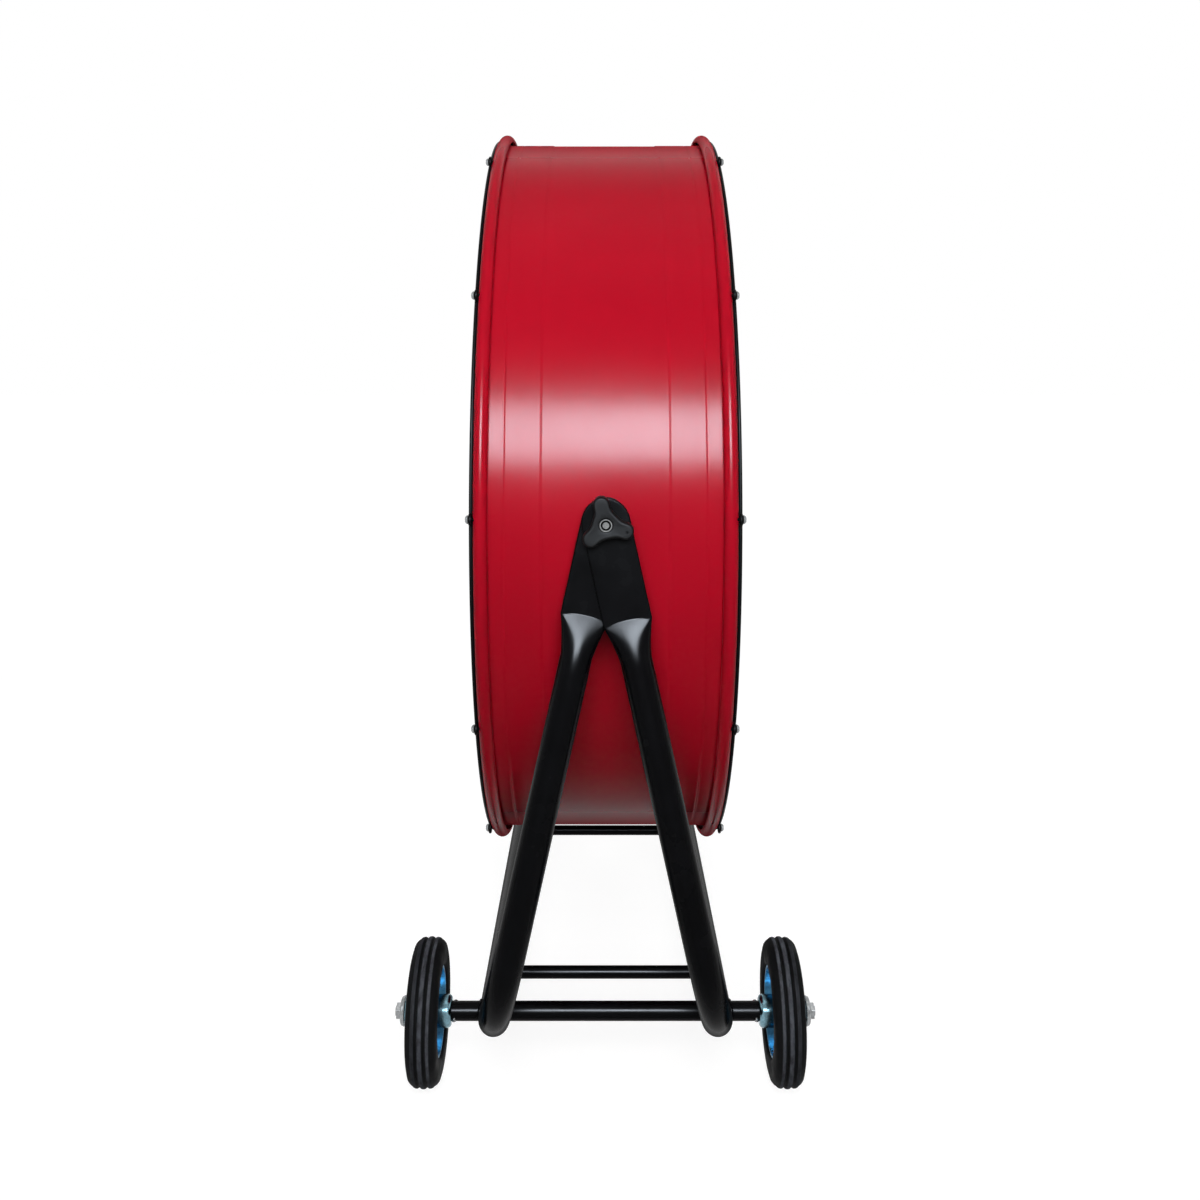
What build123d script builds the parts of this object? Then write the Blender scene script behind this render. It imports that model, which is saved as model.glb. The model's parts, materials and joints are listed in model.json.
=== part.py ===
from build123d import *
import math
import os

# A 42 inch class drum fan on a tilting stand with two wheels. Millimetres.
# X runs along the drum's axis (air leaves towards +X), Y across the stand (the wheels are at -Y)
# and Z up. The origin is on the floor, straight under the middle of the drum.

# ---- drum
drum_radius = 550.0          # outside of the drum's wall
sheet = 1.5                  # thickness of the drum's sheet
curl_radius = 8.25           # middle line of the rolled edge
curl_centre_x = 155.5        # where the rolled edge's middle stands
curl_arc = 278.0             # degrees of roll
waist_half_width = 80.0      # the wall's middle zone
waist_drop = 0.8             # and how far it lies below the rest
waist_ramp = 2.0
groove_x = 128.0
groove_half_width = 1.4
groove_depth = 0.6
drum_above_floor = 197.0

# ---- guards
guard_overhang = 5.0         # middle of the guard's rim outside the drum's wall
guard_rim_wire = 4.7         # width and depth of the rim, and depth of its eyelets
guard_wire = 3.4             # width of the inner rings, and depth of all but the rim
rib_width = 4.6
ring_count = 17
guard_eye_radius = 70.0      # closed plate in the middle
guard_dome = 26.0            # how far the middle stands out of the rim
guard_gap = 0.4              # guard to rolled edge
rib_count = 12
screw_overhang = 11.0        # screws outside the drum's wall
screw_shank = 2.2            # radius
screw_head_radius = 5.6
screw_head_height = 4.0
screw_head_shares = ((0.0, 0.0), (0.0, 1.0), (0.45, 0.93), (0.85, 0.6), (1.0, 0.0))
screw_head_gap = 0.35
screw_length = 16.0
eyelet_radius = 8.2
screw_clearance = 0.15

# ---- stand
tube_diameter = 39.0
tube_wall = 2.0
leg_room = 40.0              # drum's wall to the middle of the legs
leg_lean = 12.5              # degrees, about the pivot line
run_above_axle = 3.0         # middle of the bottom runs
bend_radius = 135.0
plate_width = 60.0           # the flattened ends
plate_thickness = 4.4
plate_length = 115.0         # below the pivot
plate_gap = 0.3              # between the two plates of a side
flare_middle = 21.0          # the flare from plate to tube: its middle and its whole length
flare_length = 46.0
flare_middle_width = 51.0
flare_middle_depth = 20.0
flare_middle_corner = 24.0   # where a section's long arcs meet its ends, degrees
flare_end_corner = 22.0
flare_hollow_drop = 2.0      # crease to the top of the flare's hollow
bar_diameter = 17.0
near_bar_from_leg = 220.0
near_bar_lift = 2.5          # above the middle of the runs
middle_bar_y = 155.0
handle_diameter = 22.0
handle_wall = 2.0
handle_height = 400.0
grip_thickness = 4.0
grip_length = 92.0
grip_round = 1.5
grip_grooves = 8
grip_groove_width = 2.0
grip_groove_depth = 0.8
post_diameter = 25.0
post_wall = 2.0
foot_from_bend = 30.0
foot_height = 30.0
foot_radius = 22.0
foot_taper = 3.0
foot_round = 1.5
foot_floor = 10.0
weld_gap = 0.05

# ---- axle and wheels
wheel_radius = 89.0
axle_past_bend = 7.0         # past the start of the near bends
axle_diameter = 24.0
axle_wall = 2.5
wheel_middle_x = 232.5
tyre_width = 40.0
tyre_inner_radius = 55.0
tread_width = 29.0
tread_groove_width = 3.2
tread_groove_depth = 3.0
tread_grooves = 2
groove_floor_share = 0.6     # groove's floor over its mouth
tread_edge_drop = 0.4
tyre_seat_inset = 4.0        # the rim is this much narrower on each side
tyre_bead_inset = 1.0
tyre_bead_height = 3.0
tyre_shoulder_inset = 1.5
tyre_shoulder_height = 8.0
rim_wall = 2.5
disc_edge_x = 4.0            # rim's disc: outer face at its ring and at the hub
disc_middle_x = 7.0          # and between them
disc_outer_step = 12.0
disc_inner_step = 6.0
hub_radius = 20.0
hub_chamfer = 1.0
hub_inside = 31.5            # hub's ends from the middle of the wheel
hub_outside = 28.5
running_gap = 0.08           # radial, shaft in bore
side_gap = 0.5               # along a shaft
axle_beyond_hub = 1.0
end_washer_radius = 18.4
end_washer_thickness = 6.0
end_nut_radius = 11.0
end_nut_height = 5.0
end_stud_radius = 6.0
end_stud_tip = 2.0           # stud beyond the nut
stud_root = 10.0             # stud inside the axle
plug_length = 21.0
plug_inset = 1.0
nut_corner_share = 0.97      # rounding of a nut's corners
thread_gap = 0.05
stop_pin_radius = 3.0
stop_pin_reach = 15.0
stop_pin_turn = 38.0

# ---- pivots
bolt_radius = 4.0
boss_radius = 17.0
boss_flange_radius = 27.0
boss_flange_thickness = 3.0
washer_thickness = 1.6
washer_radius = 14.0
bolt_head_radius = 10.0
bolt_head_height = 4.0
bolt_head_round = 1.2
bolt_end_inset = 2.0         # bolt's end below the knob's face
stack_gap = 0.1              # between plates, washer and knob
knob_lobe_reach = 34.5
knob_lobe_radius = 10.5
knob_core_radius = 17.0
knob_thickness = 22.0
knob_turn = 13.0             # degrees by which the first lobe leans from straight up
knob_spoke_share = 0.92      # spoke's width over the lobe's
knob_hollow_fillet = 6.0
knob_edge_fillet = 2.5
insert_radius = 7.9
insert_inset = 0.8
insert_recess_radius = 6.1
insert_recess_depth = 6.0
bolt_bore_gap = 0.1
cord_hole_radius = 1.6
cord_hole_offset = 2.0       # beyond the lobe's middle
cord_hole_depth = 6.0

# ---- braces, bearings and shaft
brace_width = 40.0
brace_height = 40.0
brace_wall = 2.5
front_brace_x = 0.0
rear_brace_x = -72.0
shaft_radius = 12.7
bearing_height = 36.5        # shaft above the brace's top
bearing_base_length = 130.0
bearing_base_height = 13.0
bearing_width = 34.0
bearing_housing_radius = 33.0
bearing_insert_radius = 26.0
bearing_insert_width = 36.0
bearing_bolt_spacing = 100.0
bearing_bolt_radius = 5.0
bearing_bolt_tail = 12.0     # below the brace
bearing_hexagon = 9.2        # head and nut, across the corners, halved
bearing_head_height = 6.4
bearing_nut_height = 8.0
bearing_base_corner = 12.0
seal_outer_radius = 20.0
seal_inner_radius = 17.0
seal_depth = 1.0
press_gap = 0.03
shaft_front_x = 126.0
shaft_rear_x = -146.0

# ---- fan
blade_count = 4
tip_gap = 15.0               # blade tip to the drum's inside
blade_x = 88.0               # middle of the blades
blade_thickness = 2.0
root_radius = 85.0
root_chord = 130.0
tip_chord = 235.0
root_pitch = 38.0
tip_pitch = 20.0
camber = 0.08
blade_stations = 7
blade_overrun = 14.0         # before its tip is trimmed round
arm_thickness = 5.0
arm_width = 56.0
arm_reach = 205.0
arm_gap = 0.15
fan_boss_radius = 34.0
fan_boss_length = 56.0
rivet_radius = 3.5
rivet_head_height = 2.0
rivet_margin = 15.0
rivet_hole_gap = 0.1
rivets_per_blade = 3

# ---- belt drive
pulley_x = -128.0
fan_pulley_radius = 110.0
motor_pulley_radius = 38.0
pulley_width = 22.0
belt_width = 13.0
belt_depth = 8.0
belt_angle = 18.0            # half of the V
belt_inset = 1.0             # belt's back below the pulley's edge
belt_gap = 0.35
motor_above_wall = 120.0     # motor's shaft from the drum's wall
pulley_holes = 5
pulley_hole_share = 0.7
pulley_rim_depth = 16.0
pulley_web = 6.0
pulley_room = 15.0           # a web narrower than this has no holes
groove_floor_room = 3.0      # under the belt
fan_pulley_hub = 26.0
motor_pulley_hub = 18.0
fan_pulley_hub_extra = 8.0

# ---- motor
motor_radius = 80.0
motor_wall = 4.0
rib_height = 3.0             # cooling ribs
rib_half = 1.2
rib_inset = 4.0
casing_ribs = 24
motor_foot_x = 30.0          # foot's half length, half width and thickness
motor_foot_y = 70.0
motor_foot_z = 6.0
motor_web_y = 48.0
motor_web_half = 4.0
motor_web_rise = 0.7         # of the casing's radius
rotor_radius = 48.0
motor_front_x = 22.0
motor_rear_x = -104.0
cover_length = 24.0
cover_overhang = 1.5
cover_edge = 8.0             # the round corner, in three steps
cover_corner = (2.0, 9.0)
cover_face_drop = 22.0
cover_boss_radius = 30.0
cover_boss_height = 6.0
cover_boss_taper = 2.0
cover_seat_depth = 12.0      # inner bearing seat
cover_seat_radius = 26.0
cover_wall = 6.0
cover_lip = 12.0
cover_slots = 8
cover_slot = (34.0, 56.0, 4.0)  # from, to and half width
motor_shaft_radius = 8.0
cradle_plate = 5.0
cradle_half_width = 92.0
cradle_length = 84.0
cradle_drop = 7.0            # casing to the cradle's plate
cradle_flange = 34.0
cradle_bolt_inset = (12.0, 20.0)
flange_thickness = 4.0
terminal_box_size = (62.0, 36.0, 52.0)
terminal_box_gap = 0.4
terminal_box_corner = 6.0
motor_bolt_radius = 4.0
motor_bolt_spots = (20.0, 60.0)
motor_bolt_tail = 9.0
motor_hexagon = 7.5          # heads and nuts, across the corners, halved
motor_head_height = 5.0
motor_nut_height = 6.0
round_head_height = 3.5
bolt_seat_gap = 0.3
stator_gap = 0.1
stator_inset = 8.0
rotor_gap = 0.6
rotor_inset = 12.0
shaft_tail = 10.0            # motor's shaft beyond its front
shaft_nose = 3.0             # and beyond the pulley

# ---- switch and cable
switch_angle = 21.0          # above the far pivot, seen along X
switch_x = -36.0
switch_box_size = (70.0, 46.0, 92.0)
switch_box_corner = 5.0
dial_size = (64.0, 2.0, 84.0)
mark_radius = 23.0           # the dial's three marks
mark_half = 1.0
mark_length = 4.0
mark_step = 2.0
mark_rise = 0.6
spindle_radius = 3.5
spindle_gap = 0.2
spindle_wall_gap = 1.0
switch_knob_radius = 19.0
switch_knob_height = 17.0
switch_knob_gap = 0.8
switch_knob_round = 2.0
flute_count = 12
flute_radius = 3.0
flute_out = 1.4              # flutes' middle outside the knob
pointer_half = 1.3
pointer_rise = 1.2
pointer_start = 4.0
gland_radius = 10.0
gland_bore = 4.6
gland_reach = 14.0
gland_nut = 5.0
gland_flange = 3.0
gland_step = 2.0             # neck, flange and nut from the gland's radius
gland_taper = 3.0
gland_gap = 0.3
gland_angle = 13.0
gland_x = -64.0
spindle_reach = 22.0         # into the switch box
box_wall = 2.5
outlet_radius = 7.0          # cable's way out of a box
outlet_length = 10.0
cable_radius = 4.0
cable_hole_gap = 0.3
cable_bend = 55.0
cable_x = switch_x           # plane that the motor's cable runs in
cable_lift = 8.0             # cable's middle above the drum's inside
cable_end_angle = -44.0
clip_angles = (3.0, -19.0, -41.0)
clip_half = 5.0
clip_wall = 1.5
clip_tab = 12.0
clip_gap = 0.25
seat_gap = 0.2

# ---- derived
pivot_height = drum_radius + drum_above_floor
guard_ring_radius = drum_radius + guard_overhang
screw_circle = drum_radius + screw_overhang
leg_y = drum_radius + leg_room
motor_drop = drum_radius - motor_above_wall
run_height = wheel_radius + run_above_axle
bend_start_y = leg_y - bend_radius
near_bar_y = near_bar_from_leg - leg_y
foot_y = bend_start_y - foot_from_bend
axle_y = -bend_start_y - axle_past_bend
hub_inner_x = wheel_middle_x - hub_inside
hub_outer_x = wheel_middle_x + hub_outside
axle_half_length = hub_outer_x + axle_beyond_hub
wall_inside = drum_radius - sheet
curl_outer = curl_radius + sheet / 2
curl_inner = curl_radius - sheet / 2
curl_centre_r = drum_radius - sheet / 2 + curl_radius
rim_x = curl_centre_x + curl_outer
tube_radius = tube_diameter / 2
run_depth = (pivot_height - run_height) / math.cos(math.radians(leg_lean))
run_x = (pivot_height - run_height) * math.tan(math.radians(leg_lean))
plate_offset = (plate_thickness + plate_gap) / 2
outer_face = leg_y + plate_offset + plate_thickness / 2
inner_face = leg_y - plate_offset - plate_thickness / 2
brace_top = pivot_height - bearing_height
motor_z = pivot_height - motor_drop
guard_x = rim_x + guard_gap
tip_radius = wall_inside - tip_gap
bore_radius = shaft_radius + running_gap
waist_outside = drum_radius - waist_drop
waist_inside = wall_inside - waist_drop
dome_radius = (guard_ring_radius ** 2 + guard_dome ** 2) / (2 * guard_dome)
under_head_x = guard_x + guard_rim_wire + screw_head_gap


# ---- helpers

def along_x(x, y=0.0, z=0.0):
    """Local Z turned to +X."""
    return Pos(x, y, z) * Rot(0, 90, 0)


def along_y(x, y, z):
    """Local Z turned to +Y."""
    return Pos(x, y, z) * Rot(-90, 0, 0)


def rod_x(radius, x0, x1, y=0.0, z=0.0):
    return along_x((x0 + x1) / 2, y, z) * Cylinder(radius, x1 - x0)


def rod_y(radius, y0, y1, x=0.0, z=0.0):
    return along_y(x, (y0 + y1) / 2, z) * Cylinder(radius, y1 - y0)


def rod_z(radius, z0, z1, x=0.0, y=0.0):
    return Pos(x, y, (z0 + z1) / 2) * Cylinder(radius, z1 - z0)


def box(x0, x1, y0, y1, z0, z1):
    return Pos((x0 + x1) / 2, (y0 + y1) / 2, (z0 + z1) / 2) * Box(x1 - x0, y1 - y0, z1 - z0)


def lathe_x(points):
    """Solid of revolution about X from (x, radius) corners."""
    outline = Face(Wire.make_polygon([Vector(x, r, 0) for x, r in points], close=True))
    return revolve(outline, Axis.X)


def lift(shape, z=pivot_height):
    """From the drum's axis to its height above the floor."""
    return Pos(0, 0, z) * shape


def around_x(shape, degrees):
    return Rot(degrees, 0, 0) * shape


def mirrored(shape):
    return mirror(shape, about=Plane.YZ)


def far(shape):
    return mirror(shape, about=Plane.XZ)


def common(shape, tool):
    """The one solid that two shapes share."""
    return shape.intersect(tool).solids()[0]


def save(name, *shapes):
    solids = [solid for shape in shapes for solid in shape.solids()]
    model = solids[0] if len(solids) == 1 else Compound(children=solids)
    model.label = name
    export_step(model, f"parts/{name}.step")


# ---- drum

def wall_points(depth):
    """Half of the wall's line, from the middle out, at a depth below the outside."""
    r = drum_radius - depth
    return [
        (0, r - waist_drop),
        (waist_half_width, r - waist_drop),
        (waist_half_width + waist_ramp, r),
        (groove_x - groove_half_width, r),
        (groove_x, r - groove_depth),
        (groove_x + groove_half_width, r),
        (curl_centre_x, r),
    ]


def curl_point(radius, degrees):
    a = math.radians(degrees)
    return (curl_centre_x + radius * math.cos(a), curl_centre_r + radius * math.sin(a))


def half_drum():
    start, end = -90.0, -90.0 + curl_arc
    outer_line = Polyline(*[(x, r, 0) for x, r in wall_points(0)])
    inner_line = Polyline(*[(x, r, 0) for x, r in wall_points(sheet)])
    middle = (start + end) / 2
    arcs = []
    for radius in (curl_inner, curl_outer):
        arcs.append(ThreePointArc(*[(*curl_point(radius, a), 0) for a in (start, middle, end)]))
    lip = Line((*curl_point(curl_inner, end), 0), (*curl_point(curl_outer, end), 0))
    web = Line((0, wall_points(0)[0][1], 0), (0, wall_points(sheet)[0][1], 0))
    edges = [*outer_line.edges(), *arcs, lip, *inner_line.edges(), web]
    return revolve(Face(Wire.combine(edges)[0]), Axis.X)


def screw_angles():
    return [360.0 / rib_count * k for k in range(rib_count)]


def drum_holes():
    holes = []
    hole = rod_x(screw_shank + screw_clearance, under_head_x - screw_length - 1, rim_x + 2, 0,
                 screw_circle)
    for angle in screw_angles():
        holes.append(around_x(hole, angle + 90))
    holes += [mirrored(h) for h in holes]
    holes.append(rod_y(bolt_radius + bolt_bore_gap, -drum_radius - 5, drum_radius + 5))
    spindle = rod_y(spindle_radius + spindle_wall_gap, wall_inside - 5, drum_radius + 5, switch_x)
    holes.append(around_x(spindle, switch_angle))
    gland = rod_y(gland_radius - gland_step + seat_gap, wall_inside - 5, drum_radius + 5, gland_x)
    holes.append(around_x(gland, gland_angle))
    return holes + cradle_bolt_holes()


def drum_shell():
    half = half_drum()
    return lift(half.fuse(mirrored(half)).cut(*drum_holes()))


# ---- guards

def grille_window(r0, r1, a0, a1):
    """Opening between two rings and two ribs, in the guard's own flat plane."""
    def corner(radius, angle, side):
        a = angle + side * math.asin(rib_width / 2 / radius)
        return (radius * math.cos(a), radius * math.sin(a))
    middle = (a0 + a1) / 2
    low = [corner(r0, a0, 1), (r0 * math.cos(middle), r0 * math.sin(middle)), corner(r0, a1, -1)]
    top = [corner(r1, a1, -1), (r1 * math.cos(middle), r1 * math.sin(middle)), corner(r1, a0, 1)]
    sides = [Line(low[2], top[0]), Line(top[2], low[0])]
    return Wire([ThreePointArc(*low), sides[0], ThreePointArc(*top), sides[1]])


def grille_face():
    windows = []
    step = (guard_ring_radius - guard_eye_radius) / ring_count
    sector = 2 * math.pi / rib_count
    for ring in range(ring_count):
        r0 = guard_eye_radius + ring * step + guard_wire / 2
        r1 = guard_eye_radius + (ring + 1) * step - guard_wire / 2
        for rib in range(rib_count):
            windows.append(grille_window(r0, r1, rib * sector, (rib + 1) * sector))
    return Face(Circle(guard_ring_radius + guard_wire / 4).wire(), windows)


def rim_face():
    """Flat ring round the guard with the eyelets for its screws."""
    hole = screw_shank + screw_clearance
    outline = Circle(guard_ring_radius + guard_rim_wire / 2)
    outline += [Pos(x, y) * Circle(eyelet_radius) for x, y in eyelet_places()]
    inside = Circle(guard_ring_radius - guard_rim_wire / 2).wire()
    holes = [(Pos(x, y) * Circle(hole)).wire() for x, y in eyelet_places()]
    return Face(outline.faces()[0].outer_wire(), [inside, *holes])


def eyelet_places():
    angles = [math.radians(a) for a in screw_angles()]
    return [(screw_circle * math.cos(a), screw_circle * math.sin(a)) for a in angles]


def guard():
    """The domed wire guard of the +X side, with its eyelets round the rim."""
    prism = Pos(0, 0, -guard_dome) * extrude(grille_face(), 3 * guard_dome, dir=(0, 0, 1))
    inside = Pos(0, 0, guard_dome - dome_radius) * Sphere(dome_radius)
    outside = Pos(0, 0, guard_dome - dome_radius + guard_wire) * Sphere(dome_radius)
    rim = extrude(rim_face(), guard_rim_wire, dir=(0, 0, 1))
    return lift(along_x(guard_x) * common(prism, outside.cut(inside)).fuse(rim))


def guard_screws():
    head = lathe_x([(under_head_x + height * screw_head_height, radius * screw_head_radius)
                    for height, radius in screw_head_shares])
    shank = rod_x(screw_shank, under_head_x - screw_length, under_head_x + 1)
    screw = Pos(0, 0, screw_circle) * head.fuse(shank)
    screws = [lift(around_x(screw, angle + 90)) for angle in screw_angles()]
    return screws + [mirrored(s) for s in screws]


# ---- stand

def stadium(width, thick, y, z, bulge=None):
    """Closed lens or flat section across a leg at height z of the leg's own frame."""
    a = width / 2 - thick / 2
    b = thick / 2
    if bulge is None:
        top = Line((-a, y + b, z), (a, y + b, z))
        low = Line((a, y - b, z), (-a, y - b, z))
    else:
        a = width / 2 * math.cos(math.radians(bulge))
        b = thick / 2 * math.sin(math.radians(bulge))
        top = ThreePointArc((-a, y + b, z), (0, y + thick / 2, z), (a, y + b, z))
        low = ThreePointArc((a, y - b, z), (0, y - thick / 2, z), (-a, y - b, z))
    right = ThreePointArc((a, y + b, z), (width / 2, y, z), (a, y - b, z))
    left = ThreePointArc((-a, y - b, z), (-width / 2, y, z), (-a, y + b, z))
    return Face(Wire([top, right, low, left]))


def leg_end(side):
    """Flattened end of a leg at +Y and its flare. side is +1 where the plate lies outermost."""
    plate_y = leg_y + side * plate_offset
    flat_face = plate_y - side * plate_thickness / 2
    lens_y = flat_face + side * flare_middle_depth / 2
    start = -plate_length
    middle = start - flare_middle
    end = start - flare_length
    w = tube_wall
    outside = loft([
        stadium(plate_width, plate_thickness, plate_y, start),
        stadium(flare_middle_width, flare_middle_depth, lens_y, middle,
                flare_middle_corner),
        stadium(tube_diameter, tube_diameter, leg_y, end, flare_end_corner),
    ], ruled=True)
    inside = loft([
        stadium(plate_width - 2 * w, plate_thickness / 4, plate_y, start - flare_hollow_drop),
        stadium(flare_middle_width - 2 * w, flare_middle_depth - 2 * w, lens_y, middle,
                flare_middle_corner),
        stadium(tube_diameter - 2 * w, tube_diameter - 2 * w, leg_y, end, flare_end_corner),
    ], ruled=True)
    strip = box(-plate_width / 2, plate_width / 2, plate_y - plate_thickness / 2,
                plate_y + plate_thickness / 2, start, 0)
    cap = rod_y(plate_width / 2, plate_y - plate_thickness / 2, plate_y + plate_thickness / 2)
    hole = rod_y(bolt_radius + bolt_bore_gap, plate_y - 10, plate_y + 10)
    return outside.cut(inside).fuse(strip, cap).cut(hole)


def bent_tube():
    """The round part: two legs, two bends and the bottom run, in the leg's own frame."""
    top = -(plate_length + flare_length)
    corner = -(run_depth - bend_radius)
    inset = bend_radius * math.sin(math.radians(45))
    y0 = bend_start_y
    low = -run_depth
    path = Wire([
        Line((0, -leg_y, top), (0, -leg_y, corner)),
        ThreePointArc((0, -leg_y, corner), (0, -y0 - inset, corner - inset), (0, -y0, low)),
        Line((0, -y0, low), (0, y0, low)),
        ThreePointArc((0, y0, low), (0, y0 + inset, corner - inset), (0, leg_y, corner)),
        Line((0, leg_y, corner), (0, leg_y, top)),
    ])
    start = Plane(origin=(0, -leg_y, top), z_dir=(0, 0, -1))
    return sweep(start * (Circle(tube_radius) - Circle(tube_radius - tube_wall)), path)


def axle_hole():
    reach = run_x + tube_diameter
    return rod_x(axle_diameter / 2 + seat_gap, -reach, reach, axle_y, wheel_radius)


def frame_tube(lean_side, plate_side):
    """One U of tube, leaning so that its run stands on the lean_side of the pivot line."""
    end = leg_end(plate_side)
    tube = bent_tube().fuse(end, far(end))
    return lift(Rot(0, -lean_side * leg_lean, 0) * tube).cut(axle_hole())


def cross_bar(y, rise=0.0):
    """A bar between the two runs, trimmed to their outsides."""
    bar = rod_x(bar_diameter / 2, -run_x, run_x, y, run_height + rise)
    return bar.cut(*[run_cutter(s) for s in (-1, 1)])


def run_cutter(side):
    return rod_y(tube_radius + weld_gap, -leg_y, leg_y, side * run_x, run_height)


def leg_cutter(side):
    leg = rod_z(tube_radius + weld_gap, -run_depth, -plate_length - flare_length, 0, leg_y)
    return lift(Rot(0, -side * leg_lean, 0) * leg)


def handle_bar():
    reach = (pivot_height - handle_height) * math.tan(math.radians(leg_lean))
    bar = rod_x(handle_diameter / 2, -reach, reach, leg_y, handle_height)
    bore = rod_x(handle_diameter / 2 - handle_wall, -reach, reach, leg_y, handle_height)
    return bar.cut(bore, leg_cutter(-1), leg_cutter(1))


def handle_grip():
    r = handle_diameter / 2 + seat_gap
    top = r + grip_thickness
    outside = rod_x(top, -grip_length / 2, grip_length / 2, leg_y, handle_height)
    outside = fillet(outside.edges(), grip_round)
    grooves = []
    pitch = grip_length / (grip_grooves + 1)
    half = grip_groove_width / 2
    for k in range(grip_grooves):
        x = (k - (grip_grooves - 1) / 2) * pitch
        ring = rod_x(top + 1, x - half, x + half, leg_y, handle_height)
        core = rod_x(top - grip_groove_depth, x - 2 * half, x + 2 * half, leg_y, handle_height)
        grooves.append(ring.cut(core))
    bore = rod_x(r, -grip_length, grip_length, leg_y, handle_height)
    return outside.cut(bore, *grooves)


def foot_post(side):
    x = side * run_x
    post = rod_z(post_diameter / 2, foot_floor, run_height, x, foot_y)
    bore = rod_z(post_diameter / 2 - post_wall, foot_floor - 1, run_height, x, foot_y)
    return post.cut(bore, run_cutter(side))


def rubber_foot(side):
    x = side * run_x
    cup = Pos(x, foot_y, 0) * Cone(foot_radius, foot_radius - foot_taper, foot_height,
                                   align=(Align.CENTER, Align.CENTER, Align.MIN))
    cup = fillet(cup.edges(), foot_round)
    pocket = rod_z(post_diameter / 2 + seat_gap, foot_floor - seat_gap, foot_height + 1, x, foot_y)
    return cup.cut(pocket)


# ---- axle and wheels

def axle_tube():
    r = axle_diameter / 2
    tube = rod_x(r, -axle_half_length, axle_half_length, axle_y, wheel_radius)
    bore = rod_x(r - axle_wall, -axle_half_length - 1, axle_half_length + 1, axle_y, wheel_radius)
    return tube.cut(bore, *[stop_pin(s, seat_gap) for s in (-1, 1)])


def axle_stud(side):
    """Threaded plug in the axle's end, which holds the washer and the nut."""
    r = axle_diameter / 2 - axle_wall - seat_gap
    end = axle_half_length + end_washer_thickness + end_nut_height + end_stud_tip
    face = axle_half_length - plug_inset
    plug = rod_x(r, face - plug_length, face, axle_y, wheel_radius)
    stud = plug.fuse(rod_x(end_stud_radius, face - stud_root, end, axle_y, wheel_radius))
    return stud if side > 0 else mirrored(stud)


def end_washer(side):
    x0 = axle_half_length + seat_gap
    x1 = x0 + end_washer_thickness
    hole = rod_x(end_stud_radius + seat_gap, x0 - 1, x1 + 1, axle_y, wheel_radius)
    washer = rod_x(end_washer_radius, x0, x1, axle_y, wheel_radius).cut(hole)
    return washer if side > 0 else mirrored(washer)


def end_nut(side):
    x0 = axle_half_length + end_washer_thickness + 2 * seat_gap
    hexagon = extrude(RegularPolygon(end_nut_radius, 6), end_nut_height)
    nut = along_x(x0, axle_y, wheel_radius) * hexagon
    round_nut = rod_x(end_nut_radius * nut_corner_share, x0, x0 + end_nut_height, axle_y,
                      wheel_radius)
    nut = common(nut, round_nut)
    hole = rod_x(end_stud_radius + thread_gap, x0 - 1, x0 + end_nut_height + 1, axle_y,
                 wheel_radius)
    nut = nut.cut(hole)
    return nut if side > 0 else mirrored(nut)


def stop_pin(side, extra=0.0):
    """Pin through the axle, which keeps the hub from sliding inwards."""
    x = hub_inner_x - side_gap - stop_pin_radius
    pin = Pos(0, axle_y, wheel_radius) * (
        Rot(stop_pin_turn, 0, 0) * rod_z(stop_pin_radius + extra, -stop_pin_reach, stop_pin_reach, x))
    return pin if side > 0 else mirrored(pin)


def tyre(side):
    half = tyre_width / 2
    tread = tread_width / 2
    r = wheel_radius
    points = [
        (-half + tyre_seat_inset, tyre_inner_radius),
        (-half + tyre_bead_inset, tyre_inner_radius + tyre_bead_height),
        (-half, (tyre_inner_radius + r) / 2 + tyre_bead_height),
        (-half + tyre_shoulder_inset, r - tyre_shoulder_height),
        (-tread - tyre_shoulder_inset, r - tyre_shoulder_inset),
        (-tread, r - tread_edge_drop),
    ]
    flank = len(points)
    pitch = tread_width / (tread_grooves + 1)
    for k in range(tread_grooves):
        x = (k - (tread_grooves - 1) / 2) * pitch
        g = tread_groove_width / 2
        floor = g * groove_floor_share
        points += [(x - g, r), (x - floor, r - tread_groove_depth)]
        points += [(x + floor, r - tread_groove_depth), (x + g, r)]
    points += [(-x, y) for x, y in reversed(points[:flank])]
    ring = lathe_x(points)
    return Pos(side * wheel_middle_x, axle_y, wheel_radius) * ring


def rim(side):
    """Pressed steel disc with a flanged ring that the tyre sits on."""
    r = tyre_inner_radius - seat_gap
    half = tyre_width / 2 - tyre_seat_inset
    w = rim_wall
    edge, face = disc_edge_x, disc_middle_x
    outer, inner = r - disc_outer_step, hub_radius + disc_inner_step
    hub = hub_radius + seat_gap
    points = [
        (-half, r), (half, r), (half, r - w), (edge, r - w), (face, outer), (face, inner),
        (edge, hub), (edge - w, hub), (face - w, inner), (face - w, outer), (edge - w, r - w),
        (-half, r - w),
    ]
    disc = lathe_x(points)
    shape = disc if side > 0 else mirrored(disc)
    return Pos(side * wheel_middle_x, axle_y, wheel_radius) * shape


def wheel_hub(side):
    body = rod_x(hub_radius, hub_inner_x, hub_outer_x, axle_y, wheel_radius)
    body = chamfer(body.edges(), hub_chamfer)
    bore_r = axle_diameter / 2 + running_gap
    hub = body.cut(rod_x(bore_r, hub_inner_x - 1, hub_outer_x + 1, axle_y, wheel_radius))
    return hub if side > 0 else mirrored(hub)


# ---- pivots

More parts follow.
